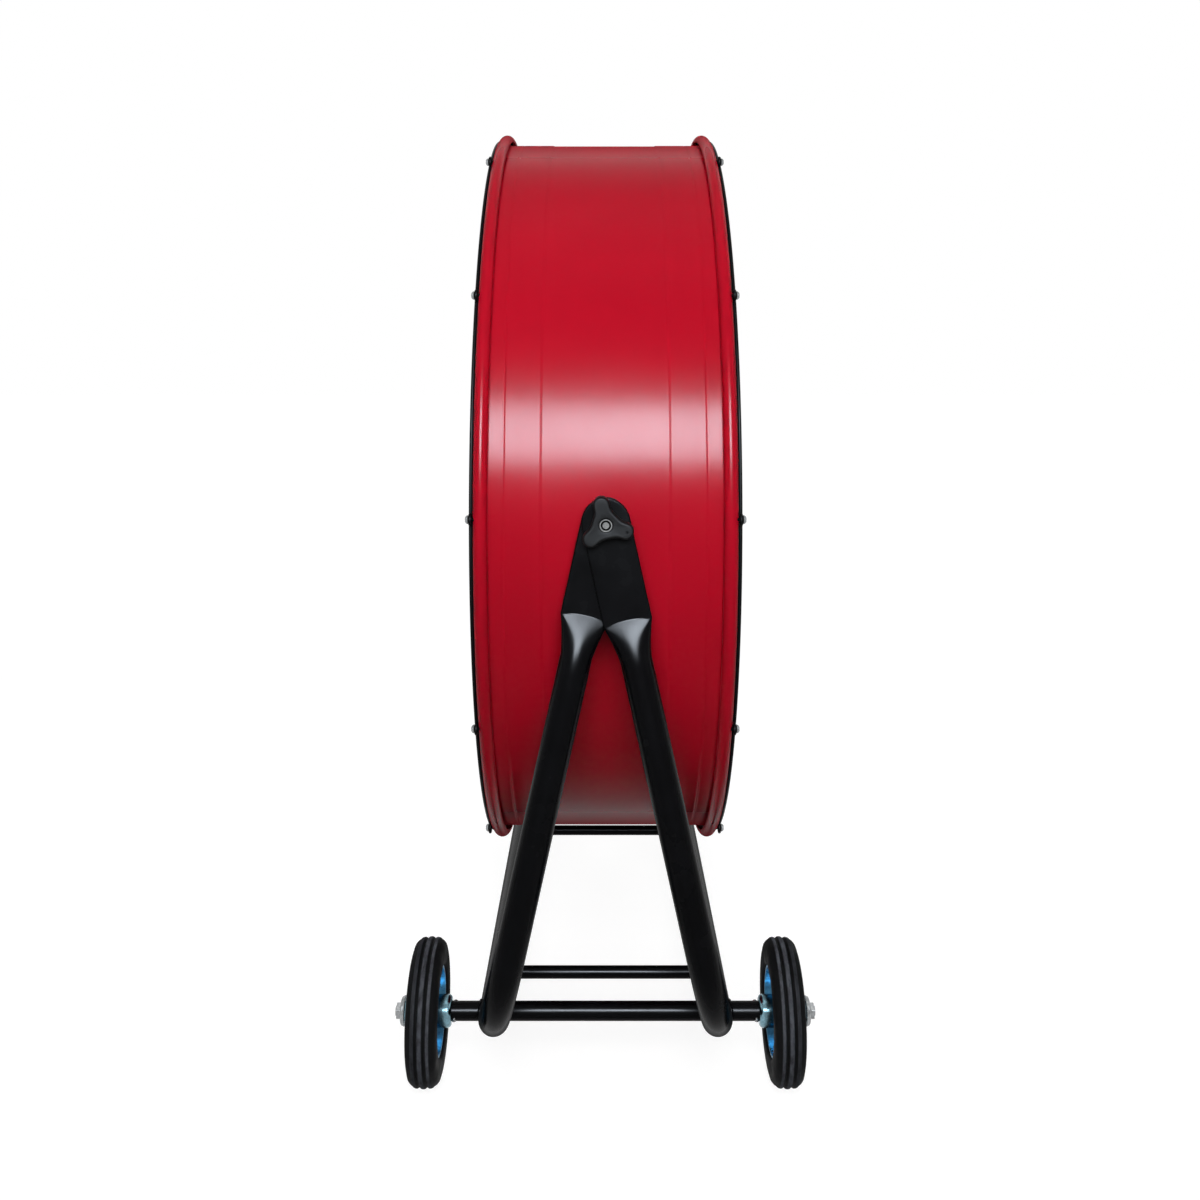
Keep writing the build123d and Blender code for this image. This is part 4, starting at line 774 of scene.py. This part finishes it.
def flare_rows(length, shift):
    """Sections of the flare, from the pressed edge under the crease to the round tube."""
    raised = []
    for x, y in flat_section(PLATE_WIDTH):
        lift = CREASE_STEP * max(0.0, 1 - (x / (PLATE_WIDTH / 2)) ** 4)
        raised.append((x, y + math.copysign(lift, y) if abs(y) > WELD_DISTANCE else y))
    climb = (TUBE_RADIUS - PLATE_THICK / 2 - shift) / FLARE_SLOPE
    rows = []
    for k in range(FLARE_STEPS + 1):
        depth = CREASE_DROP + (climb - CREASE_DROP) * k / FLARE_STEPS
        share = min(1.0, depth / FLARE_LENGTH)
        outline = share + FLARE_SWELL * math.sin(math.pi * share)
        face = 1 - (1 - share) ** FACE_CURVE
        rise = 1 - (1 - k / FLARE_STEPS) ** FLARE_CURVE
        row = []
        for (xa, ya), (xb, yb) in zip(raised, round_section()):
            blend = outline + (face - outline) * abs(yb) / TUBE_RADIUS
            up = crease_rise(xa) * (1 - share) ** 2 - length - depth
            row.append((xa + (xb - xa) * blend, (ya + shift) * (1 - rise) + yb * rise, up))
        rows.append(row)
    return rows


def leg_stations(side):
    """Sections of one leg from its rounded top to the tube, as lists of (x, out, up).

    out is measured from the legs' plane away from the drum, up from the pivot.
    """
    shift = side * PLATE_OFFSET
    length = PLATE_LENGTH + side * CREASE_SHIFT
    return plate_rows(length, shift) + flare_rows(length, shift)


def bend_stations():
    """Sections of the bottom run's half, from the leg into the middle, as (x, out, up)."""
    rows = []
    corner = -(RUN_DEPTH - BEND_RADIUS)
    for a in quarter_turn(BEND_STEPS):
        centre_out = -BEND_RADIUS + BEND_RADIUS * math.cos(a)
        centre_up = corner - BEND_RADIUS * math.sin(a)
        rows.append([(x, centre_out + y * math.cos(a), centre_up - y * math.sin(a))
                     for x, y in round_section()])
    return rows


def frame_tube_build(side):
    """Both legs and the run between them, as one bent tube."""
    half = leg_stations(side) + bend_stations()
    near = [[(x, -(LEG_Y + out), up) for x, out, up in row] for row in half]
    far = [[(x, LEG_Y + out, up) for x, out, up in row] for row in reversed(half)]
    rows = near + far
    count = len(rows[0])
    build = Build()
    lean = Matrix.Translation((0, 0, PIVOT_Z)) @ Matrix.Rotation(-side * LEG_LEAN, 4, "Y")
    crease = TOP_STEPS + 1 + len(PLATE_ROWS)
    sharp = []
    flats = [*range(0, FLAT_POINTS - 1), *range(FLAT_POINTS + ROUND_POINTS, count - ROUND_POINTS - 1)]
    for row in (crease, crease + 1, len(rows) - 1 - crease, len(rows) - 2 - crease):
        sharp += [(row * count + j, row * count + j + 1) for j in flats]
    build.add([lean @ Vector(p) for row in rows for p in row], grid_faces(len(rows), count), sharp)
    return build


def make_frame_tubes():
    for name, side in SIDES:
        build = frame_tube_build(side)
        build.piece(f"{name}_tube", "stand", "stand_black", [f"{name}_frame_tube"], angle=50)


def bar_x(build, radius, half, y, z):
    """Bar along X with slightly rounded ends."""
    end = [(half - BAR_EDGE, radius), (half, radius - BAR_EDGE), (half, 0)]
    outline = [(-x, r) for x, r in reversed(end)] + end
    lathe(build, outline, (0, y, z), 48, closed=False)


def seam(radius, side, way, y, rise):
    """Line around a bar along X where it meets a run: side is the run's, way the face's."""
    path = []
    for k in range(SEAM_STEPS):
        a = 2 * math.pi * k / SEAM_STEPS
        up = rise + radius * math.sin(a)
        reach = math.sqrt(max(TUBE_RADIUS ** 2 - up ** 2, 0))
        path.append((side * RUN_X + way * reach, y + radius * math.cos(a), RUN_Z + up))
    return path


def make_bars():
    for name, y, rise in BARS:
        build = Build()
        bar_x(build, BAR_RADIUS, RUN_X - TUBE_RADIUS + BAR_BITE, y, RUN_Z + rise)
        build.piece(f"{name}_bar", "stand", "stand_black", [f"{name}_crossbar"])
    build = Build()
    bar_x(build, AXLE_RADIUS, AXLE_HALF, AXLE_Y, WHEEL_RADIUS)
    build.piece("axle", "stand", "stand_black", ["axle_tube"])


def weld_bead(build, path, seed):
    """Lumpy bead along a closed line."""
    path = [Vector(p) for p in path]
    points = []
    for i, (place, (u, v)) in enumerate(zip(path, frames(path, True))):
        coarse = RIPPLE * math.sin(i * RIPPLE_PACE + seed)
        fine = FINE_RIPPLE * math.sin(i * FINE_PACE + 2 * seed)
        radius = WELD_RADIUS * (1 + coarse + fine)
        for k in range(WELD_SIDES):
            a = 2 * math.pi * k / WELD_SIDES
            points.append(place + (u * math.cos(a) + v * math.sin(a)) * radius)
    build.add(points, grid_faces(len(path), WELD_SIDES, wrap_rows=True))


def make_welds():
    """Beads where the bars and the axle meet the runs."""
    build = Build()
    seed = 0.0
    for _, y, rise in BARS:
        for side in (-1, 1):
            weld_bead(build, seam(BAR_RADIUS, side, -side, y, rise), seed)
            seed += 1.3
    for side in (-1, 1):
        for way in (-1, 1):
            weld_bead(build, seam(AXLE_RADIUS, side, way, AXLE_Y, WHEEL_RADIUS - RUN_Z), seed)
            seed += 1.7
    build.piece("stand_welds", "stand", "stand_black", angle=80)


# ---- wheels

def tread_outline():
    """Tyre section from the inner flank over the tread to the outer flank."""
    flank = [(inset - TYRE_HALF, TYRE_INNER + height) for inset, height in TYRE_BEAD]
    flank += [(inset - TYRE_HALF, WHEEL_RADIUS - depth) for inset, depth in TYRE_SHOULDER]
    half = RIB_PITCH / 2 - TREAD_GROOVE
    tread = []
    for rib in (-1, 0, 1):
        for k in range(RIB_FACES + 1):
            share = 2 * k / RIB_FACES - 1
            x = rib * RIB_PITCH + half * share
            fall = TREAD_CROWN * (x / TREAD_HALF) ** 2 + RIB_ROUND * abs(share) ** 3
            tread.append((x, WHEEL_RADIUS - fall))
        if rib < 1:
            middle, floor = (rib + 0.5) * RIB_PITCH, WHEEL_RADIUS - TREAD_DEPTH
            beside = TREAD_GROOVE / 2
            tread += [(middle - beside, floor + GROOVE_ROUND), (middle, floor),
                      (middle + beside, floor + GROOVE_ROUND)]
    return flank + tread + [(-x, y) for x, y in reversed(flank)]


def make_tyre(name, side):
    """Tyre with painted grey highlights along its ribs, fainter at a band's edges and on the outer rib."""
    build = Build()
    lathe(build, tread_outline(), (side * WHEEL_X, AXLE_Y, WHEEL_RADIUS), 160)
    thing = build.piece(f"{name}_tyre", f"{name}_wheel", "tyre_rubber", [f"{name}_wheel_tyre"], angle=50)
    thing.data.materials.append(rib_highlight)
    thing.data.materials.append(faint_rib_highlight)
    # the rib tops' grey bands are painted highlights: full on the inner and middle ribs, faint at the edges
    # and on the outer rib
    for polygon in thing.data.polygons:
        radius = math.hypot(polygon.center.y - AXLE_Y, polygon.center.z - WHEEL_RADIUS)
        if radius < WHEEL_RADIUS - TREAD_CROWN - RIB_ROUND:
            continue
        x = side * polygon.center.x - WHEEL_X
        rib = round(x / RIB_PITCH)
        off = abs(x - rib * RIB_PITCH)
        wide = HIGHLIGHT_HALF + (HIGHLIGHT_MORE if rib == 0 else 0.0)
        if off < wide:
            polygon.material_index = 2 if rib > 0 else 1
        elif off < wide + HIGHLIGHT_MORE:
            polygon.material_index = 2


def make_rim(name, side):
    """Pressed disc with a bead, a flat band for the tyre and a raised middle."""
    edge = TYRE_INNER - RIM_GAP
    half = TYRE_HALF - RIM_INSET
    hub = HUB_RADIUS + RIM_GAP
    face = [(0.0052, edge - 0.008), (0.0078, edge - 0.012), (0.0080, edge - 0.020),
            (0.0062, HUB_RADIUS + 0.0075), (0.0048, HUB_RADIUS + 0.004), (0.0042, hub)]
    back = [(x - RIM_SHEET, r) for x, r in reversed(face)]
    outline = [(-half, edge), (half, edge), (half + 0.0004, edge - 0.0012), (half, edge - RIM_SHEET),
               (0.008, edge - 0.0028), (0.0045, edge - 0.004), *face, *back, (0.0018, edge - 0.004),
               (-0.002, edge - 0.0028), (-half, edge - RIM_SHEET), (-half - 0.0004, edge - 0.0012)]
    build = Build()
    lathe(build, outline, (side * WHEEL_X, AXLE_Y, WHEEL_RADIUS), 128, side=side)
    build.piece(f"{name}_rim", f"{name}_wheel", "blue_zinc", [f"{name}_wheel_rim"])


def make_hub(name, side):
    """Sleeve on the axle, domed towards the stand."""
    bore = AXLE_RADIUS + HUB_GAP
    dome = [(HUB_INNER_X + HUB_DOME * (1 - math.cos(a)), HUB_RADIUS - HUB_DOME * (1 - math.sin(a)))
            for a in quarter_turn(10)]
    outline = [(HUB_INNER_X, bore), *dome, (HUB_OUTER_X - HUB_EDGE, HUB_RADIUS),
               (HUB_OUTER_X, HUB_RADIUS - HUB_EDGE), (HUB_OUTER_X, bore)]
    build = Build()
    lathe(build, outline, (0, AXLE_Y, WHEEL_RADIUS), 72, side=side)
    build.piece(f"{name}_hub", f"{name}_wheel", "blue_zinc", [f"{name}_wheel_hub"], material=hub_zinc)


def make_end_washers():
    """Dished washers on the axle's ends."""
    start = AXLE_HALF + WASHER_GAP
    fold, inset = WASHER_FOLD
    high, wide = WASHER_DISH
    rim = WASHER_RADIUS - inset
    outline = [(0, END_HOLE), (0, WASHER_RADIUS - WASHER_EDGE), (WASHER_EDGE, WASHER_RADIUS),
               (WASHER_SIDE, WASHER_RADIUS)]
    outline += [(fold + high * math.sin(a), rim - wide * (1 - math.cos(a)))
                for a in quarter_turn(ROUND_STEPS)]
    outline += [(WASHER_THICK, END_HOLE + 0.0005), (WASHER_THICK, END_HOLE)]
    build = Build()
    for side in (-1, 1):
        lathe(build, outline, (side * start, AXLE_Y, WHEEL_RADIUS), 72, side=side)
    build.piece("end_washers", "stand", "zinc", ["axle_end_washers"])


def make_wheels():
    for name, side in SIDES:
        make_tyre(name, side)
        make_rim(name, side)
        make_hub(name, side)


def make_stop_pins():
    """Domed pins through the axle, beside the hubs."""
    dome = [(PIN_REACH - PIN_RADIUS * PIN_DOME * (1 - math.sin(a)), PIN_RADIUS * math.cos(a))
            for a in quarter_turn(ROUND_STEPS)]
    pin = Build()
    lathe(pin, [(-x, r) for x, r in reversed(dome)] + dome, (0, 0, 0), 32, closed=False)
    lean = Matrix.Rotation(math.radians(PIN_TURN), 4, "X") @ Matrix.Rotation(math.radians(-90), 4, "Y")
    build = Build()
    for side in (-1, 1):
        place = Matrix.Translation((side * (HUB_INNER_X - PIN_GAP - PIN_RADIUS), AXLE_Y, WHEEL_RADIUS))
        build.add_copy(pin, place @ lean)
    build.piece("stop_pins", "stand", "zinc", ["axle_stop_pins"])


# ---- knobs

def lobe_angle(k):
    return math.radians(90 + KNOB_TURN + 120 * k)


def knob_distance(x, z):
    """Signed distance to the knob's outline, with soft inner corners."""
    result = math.hypot(x, z) - KNOB_CORE
    for k in range(3):
        ux, uz = math.cos(lobe_angle(k)), math.sin(lobe_angle(k))
        along = max(0.0, min(KNOB_REACH - KNOB_LOBE, x * ux + z * uz))
        lobe = math.hypot(x - ux * along, z - uz * along) - KNOB_LOBE
        mix = max(0.0, min(1.0, 0.5 + (lobe - result) / (2 * KNOB_SOFT)))
        result = lobe * (1 - mix) + result * mix - KNOB_SOFT * mix * (1 - mix)
    return result


def knob_radius(angle, level):
    """How far the knob reaches in a direction, where its distance is level; found by halving."""
    low, high = 0.004, KNOB_REACH + 0.002
    for _ in range(26):
        middle = (low + high) / 2
        if knob_distance(middle * math.cos(angle), middle * math.sin(angle)) < level:
            low = middle
        else:
            high = middle
    return min(low, KNOB_REACH)


def knob_build():
    """Three-lobed knob of the near side, around its bore."""
    turns = [2 * math.pi * k / KNOB_SEGMENTS for k in range(KNOB_SEGMENTS)]
    rounded = [(KNOB_THICK - KNOB_EDGE + KNOB_EDGE * math.sin(a), KNOB_EDGE * (math.cos(a) - 1))
               for a in quarter_turn(ROUND_STEPS)]
    rows = [(out, [knob_radius(a, level) for a in turns]) for out, level in (*KNOB_FOOT, *rounded)]
    rim = rows[-1][1]
    start = KNOB_BORE + BORE_ROUND
    for share in (0.75, 0.5, 0.25, 0.0):
        rows.append((KNOB_THICK - KNOB_DISH * (1 - share), [start + (r - start) * share for r in rim]))
    bore = [(KNOB_BORE + 0.0006, KNOB_THICK - 0.0006), (KNOB_BORE + 0.0001, KNOB_THICK - 0.0009),
            (KNOB_BORE, KNOB_THICK - BORE_ROUND), (KNOB_BORE, 0.0)]
    rows += [(out, [r] * KNOB_SEGMENTS) for r, out in bore]
    build = Build()
    build.add([(r * math.cos(a), -(KNOB_Y + out), PIVOT_Z + r * math.sin(a))
               for out, reach in rows for a, r in zip(turns, reach)],
              grid_faces(len(rows), KNOB_SEGMENTS, wrap_rows=True))
    return build


def make_knobs():
    near = knob_build()
    far = Build()
    far.add_copy(near, MIRROR_Y)
    for name, side, build in (("near", -1, near), ("far", 1, far)):
        knob = build.piece(f"{name}_clamp_knob", f"{name}_knob", "knob_plastic", [f"{name}_knob"])
        drill_cord_hole(knob, side)


def drill_object(side):
    """Rod that cuts the cord hole."""
    angle = lobe_angle(-1)
    reach = KNOB_REACH - KNOB_LOBE + CORD_HOLE_OFFSET
    place = Matrix.Translation((reach * math.cos(angle), side * (KNOB_Y + KNOB_THICK),
                                PIVOT_Z + reach * math.sin(angle)))
    outline = [(-CORD_HOLE_DEPTH, 0), (-CORD_HOLE_DEPTH, CORD_HOLE_RADIUS),
               (DRILL_START, CORD_HOLE_RADIUS), (DRILL_START, 0)]
    rod = Build()
    lathe(rod, outline, (0, 0, 0), 24, closed=False)
    placed = Build()
    placed.add_copy(rod, place @ Matrix.Rotation(math.radians(side * 90), 4, "Z"))
    return in_scene("drill", placed.mesh("drill", angle=180, smooth=False))


def drill_cord_hole(knob, side):
    """Blind hole for a cord in one of the knob's lobes."""
    drill = drill_object(side)
    cut = knob.modifiers.new("cord_hole", "BOOLEAN")
    cut.operation = "DIFFERENCE"
    cut.solver = "EXACT"
    cut.object = drill
    bpy.context.view_layer.update()
    result = bpy.data.meshes.new_from_object(knob.evaluated_get(bpy.context.evaluated_depsgraph_get()))
    knob.modifiers.clear()
    knob.data = result
    bpy.data.objects.remove(drill)


def make_inserts():
    """Threaded sleeves in the knobs, with painted shade in the recess around the bolt's end."""
    top = KNOB_THICK - INSERT_INSET
    outline = [(0.0, INSERT_HOLE), (0.0, INSERT_RADIUS), (top - INSERT_EDGE, INSERT_RADIUS),
               (top, INSERT_RADIUS - INSERT_EDGE), (top, INSERT_RECESS + INSERT_RECESS_EDGE),
               (top - INSERT_RECESS_EDGE, INSERT_RECESS), (INSERT_FLOOR, INSERT_RECESS),
               (INSERT_FLOOR, INSERT_HOLE)]
    sleeve = Build()
    lathe(sleeve, outline, (0, 0, 0), 64)
    for name, side in (("near", -1), ("far", 1)):
        build = Build()
        place = Matrix.Translation((0, side * KNOB_Y, PIVOT_Z))
        build.add_copy(sleeve, place @ Matrix.Rotation(math.radians(side * 90), 4, "Z"))
        thing = build.piece(f"{name}_insert", f"{name}_knob", "zinc", [f"{name}_knob_insert"])
        # the recess's walls and floor get a black material: painted shade where the deep recess lies dark
        thing.data.materials.append(painted_recess_shade)
        for polygon in thing.data.polygons:
            out = abs(polygon.center.y) - KNOB_Y
            radius = math.hypot(polygon.center.x, polygon.center.z - PIVOT_Z)
            if radius < INSERT_RECESS + 0.0001 and out < top - 0.0005:
                polygon.material_index = 1


# ---- floor, light and camera

FLOOR_SIZE = 60.0
FLOOR_CLEAR = 0.0005  # below the tyres
SHADOW_SHARE = 0.27  # floor's colour near the object, looked at directly
UNSHADED = 0.52  # light on the open floor
FADE = 0.42  # one over the reach of the shadows
BOUNCE = 0.12  # floor's colour for the light that it throws back
FULL_WHITE = 1.02  # so that the open floor is plain white
WHITE = (1, 1, 1, 1)
ROOM_COLOUR = (0.95, 0.97, 1.0, 1)
ROOM_STRENGTH = 0.03


def seen_directly(tree):
    """1 where a camera, glossy or transmission ray looks."""
    path = tree.new("LightPath")
    value = path.outputs["Is Camera Ray"]
    for name in ("Is Glossy Ray", "Is Transmission Ray"):
        most = tree.new("Math")
        most.operation = "MAXIMUM"
        tree.link(value, most.inputs[0])
        tree.link(path.outputs[name], most.inputs[1])
        value = most.outputs["Value"]
    return value


def end_tree(tree, kind, thrown, seen):
    """Shows one shader to what looks at it directly, and throws back the other one's light."""
    mix = tree.new("MixShader")
    tree.link(seen_directly(tree), mix.inputs["Fac"])
    tree.link(thrown, mix.inputs[1])
    tree.link(seen, mix.inputs[2])
    tree.link(mix.outputs["Shader"], tree.new(kind).inputs["Surface"])


def scaled(tree, value, factor, plus=0.0):
    """A value times a factor, plus a constant."""
    node = tree.new("Math")
    node.operation = "MULTIPLY_ADD"
    node.inputs[1].default_value = factor
    node.inputs[2].default_value = plus
    tree.link(value, node.inputs[0])
    return node.outputs["Value"]


def floor_material():
    """White to look at, with the object's shadow near it, and dim in the light that it throws back."""
    material = bpy.data.materials.new("pale_floor")
    tree = Tree(material)
    tree.nodes.clear()
    place = tree.new("TexCoord")
    scale = tree.new("Mapping")
    fill(scale, Scale=(FADE, FADE, FADE))
    tree.link(place.outputs["Object"], scale.inputs["Vector"])
    near = tree.new("TexGradient")
    near.gradient_type = "SPHERICAL"
    tree.link(scale.outputs["Vector"], near.inputs["Vector"])
    share = scaled(tree, near.outputs["Fac"], SHADOW_SHARE)
    lit = tree.new("BsdfDiffuse")
    tree.link(share, lit.inputs["Color"])
    plain = tree.new("Emission")
    fill(plain, Color=WHITE)
    tree.link(scaled(tree, share, -UNSHADED, FULL_WHITE), plain.inputs["Strength"])
    seen = tree.new("AddShader")
    tree.link(lit.outputs["BSDF"], seen.inputs[0])
    tree.link(plain.outputs["Emission"], seen.inputs[1])
    thrown = tree.new("BsdfDiffuse")
    fill(thrown, Color=(BOUNCE, BOUNCE, BOUNCE, 1))
    end_tree(tree, "OutputMaterial", thrown.outputs["BSDF"], seen.outputs["Shader"])
    return material


def make_floor():
    half = FLOOR_SIZE / 2
    corners = [(x, y, -FLOOR_CLEAR) for x, y in ((-half, -half), (half, -half), (half, half), (-half, half))]
    mesh = bpy.data.meshes.new("floor")
    mesh.from_pydata(corners, [], [(0, 1, 2, 3)])
    mesh.materials.append(floor_material())
    floor = in_scene("floor", mesh)


def make_world():
    """White where it is looked at, and a dim room for the light on the object."""
    world = bpy.data.worlds.new("studio")
    bpy.context.scene.world = world
    tree = Tree(world)
    tree.nodes.clear()
    room = tree.new("Background")
    fill(room, Color=ROOM_COLOUR, Strength=ROOM_STRENGTH)
    white = tree.new("Background")
    fill(white, Color=WHITE)
    end_tree(tree, "OutputWorld", room.outputs["Background"], white.outputs["Background"])


def soft_light(name, place, target, size, power, colour=(1.0, 1.0, 1.0)):
    lamp = bpy.data.lights.new(name, "AREA")
    lamp.shape = "RECTANGLE"
    lamp.size, lamp.size_y = size
    lamp.energy = power
    lamp.color = colour
    thing = in_scene(name, lamp)
    thing.location = place
    thing.rotation_euler = (Vector(target) - Vector(place)).to_track_quat("-Z", "Y").to_euler()
    thing.visible_camera = False
    return thing


KEY_TARGET = (0, -DRUM_RADIUS, 0.869)
SHINE_PLACE = (0, -2.91, 1.66)
SHINE_SIZE = (1.2, 0.82)
FILL_PLACE = (0, -2.85, 1.9)
FILL_SIZE = (1.2, 1.12)
BARE_METALS = {"bright_zinc", "blue_zinc", "hub_zinc", "blade_sheet", "dial_sheet"}


def share_lamps(shine, spark):
    """The strong shine is for the coats alone, and bare metal has its own weak one."""
    coats = bpy.data.collections.new("coats")
    metals = bpy.data.collections.new("bare_metals")
    for thing in bpy.context.scene.objects:
        if thing.type == "MESH":
            names = {material.name for material in thing.data.materials}
            (metals if names & BARE_METALS else coats).objects.link(thing)
    shine.light_linking.receiver_collection = coats
    spark.light_linking.receiver_collection = metals


def make_lights():
    """The key is three lamps in one: gloss on the coats, diffuse light, and gloss on bare metals."""
    shine = soft_light("key_shine", SHINE_PLACE, KEY_TARGET, SHINE_SIZE, 640, (0.82, 0.90, 1.0))
    shine.visible_diffuse = False
    soft = soft_light("key", FILL_PLACE, KEY_TARGET, FILL_SIZE, 67, (1.0, 0.98, 0.97))
    soft.visible_glossy = False
    spark = soft_light("key_spark", SHINE_PLACE, KEY_TARGET, SHINE_SIZE, 26, (0.95, 0.97, 1.0))
    spark.visible_diffuse = False
    share_lamps(shine, spark)
    soft_light("top", (0.0, -0.6, 3.2), (0, 0, 0.8), (1.6, 1.6), 6)
    for name, side in SIDES:
        soft_light(name, (side * 2.6, -1.6, 1.6), (0, 0, 0.6), (0.9, 1.8), 6, (0.85, 0.92, 1.0))
    back = soft_light("back", (0.0, 3.0, 2.0), (0, 0, 0.7), (1.6, 1.2), 62)
    back.visible_glossy = False


CAMERA_PLACE = (-0.0070, -2.0885, 0.944)
FOCAL_PIXELS = 1238.0  # of a frame 1200 pixels wide
FRAME_PIXELS = 1200.0
HORIZON_PIXEL = 360.0  # row of the horizon
SENSOR = 36.0


def make_camera():
    lens = bpy.data.cameras.new("camera")
    lens.sensor_width = SENSOR
    lens.lens = SENSOR * FOCAL_PIXELS / FRAME_PIXELS
    lens.shift_y = (HORIZON_PIXEL - FRAME_PIXELS / 2) / FRAME_PIXELS
    lens.clip_start = 0.05
    lens.clip_end = 200
    camera = in_scene("camera", lens)
    camera.location = CAMERA_PLACE
    camera.rotation_euler = (math.radians(90), 0, 0)
    bpy.context.scene.camera = camera


# ---- making it all

# painted highlights for the tread's ribs, a full one and a faint one
rib_highlight = rib_highlight_rubber("tread_painted_highlight", 1.0)
faint_rib_highlight = rib_highlight_rubber("tread_faint_painted_highlight", 0.35)
hub_zinc = zinc("hub_zinc", (0.15, 0.26, 0.31))
# black for the inserts' recesses: painted shade
painted_recess_shade = soft_rubber("painted_recess_shade")
make_camera()
dress_nodes()
make_drum()
make_guards()
make_guard_screws()
make_frame_tubes()
make_bars()
make_welds()
make_wheels()
make_end_washers()
make_stop_pins()
make_knobs()
make_inserts()
make_floor()
make_world()
make_lights()
bpy.context.scene.view_settings.view_transform = "Standard"
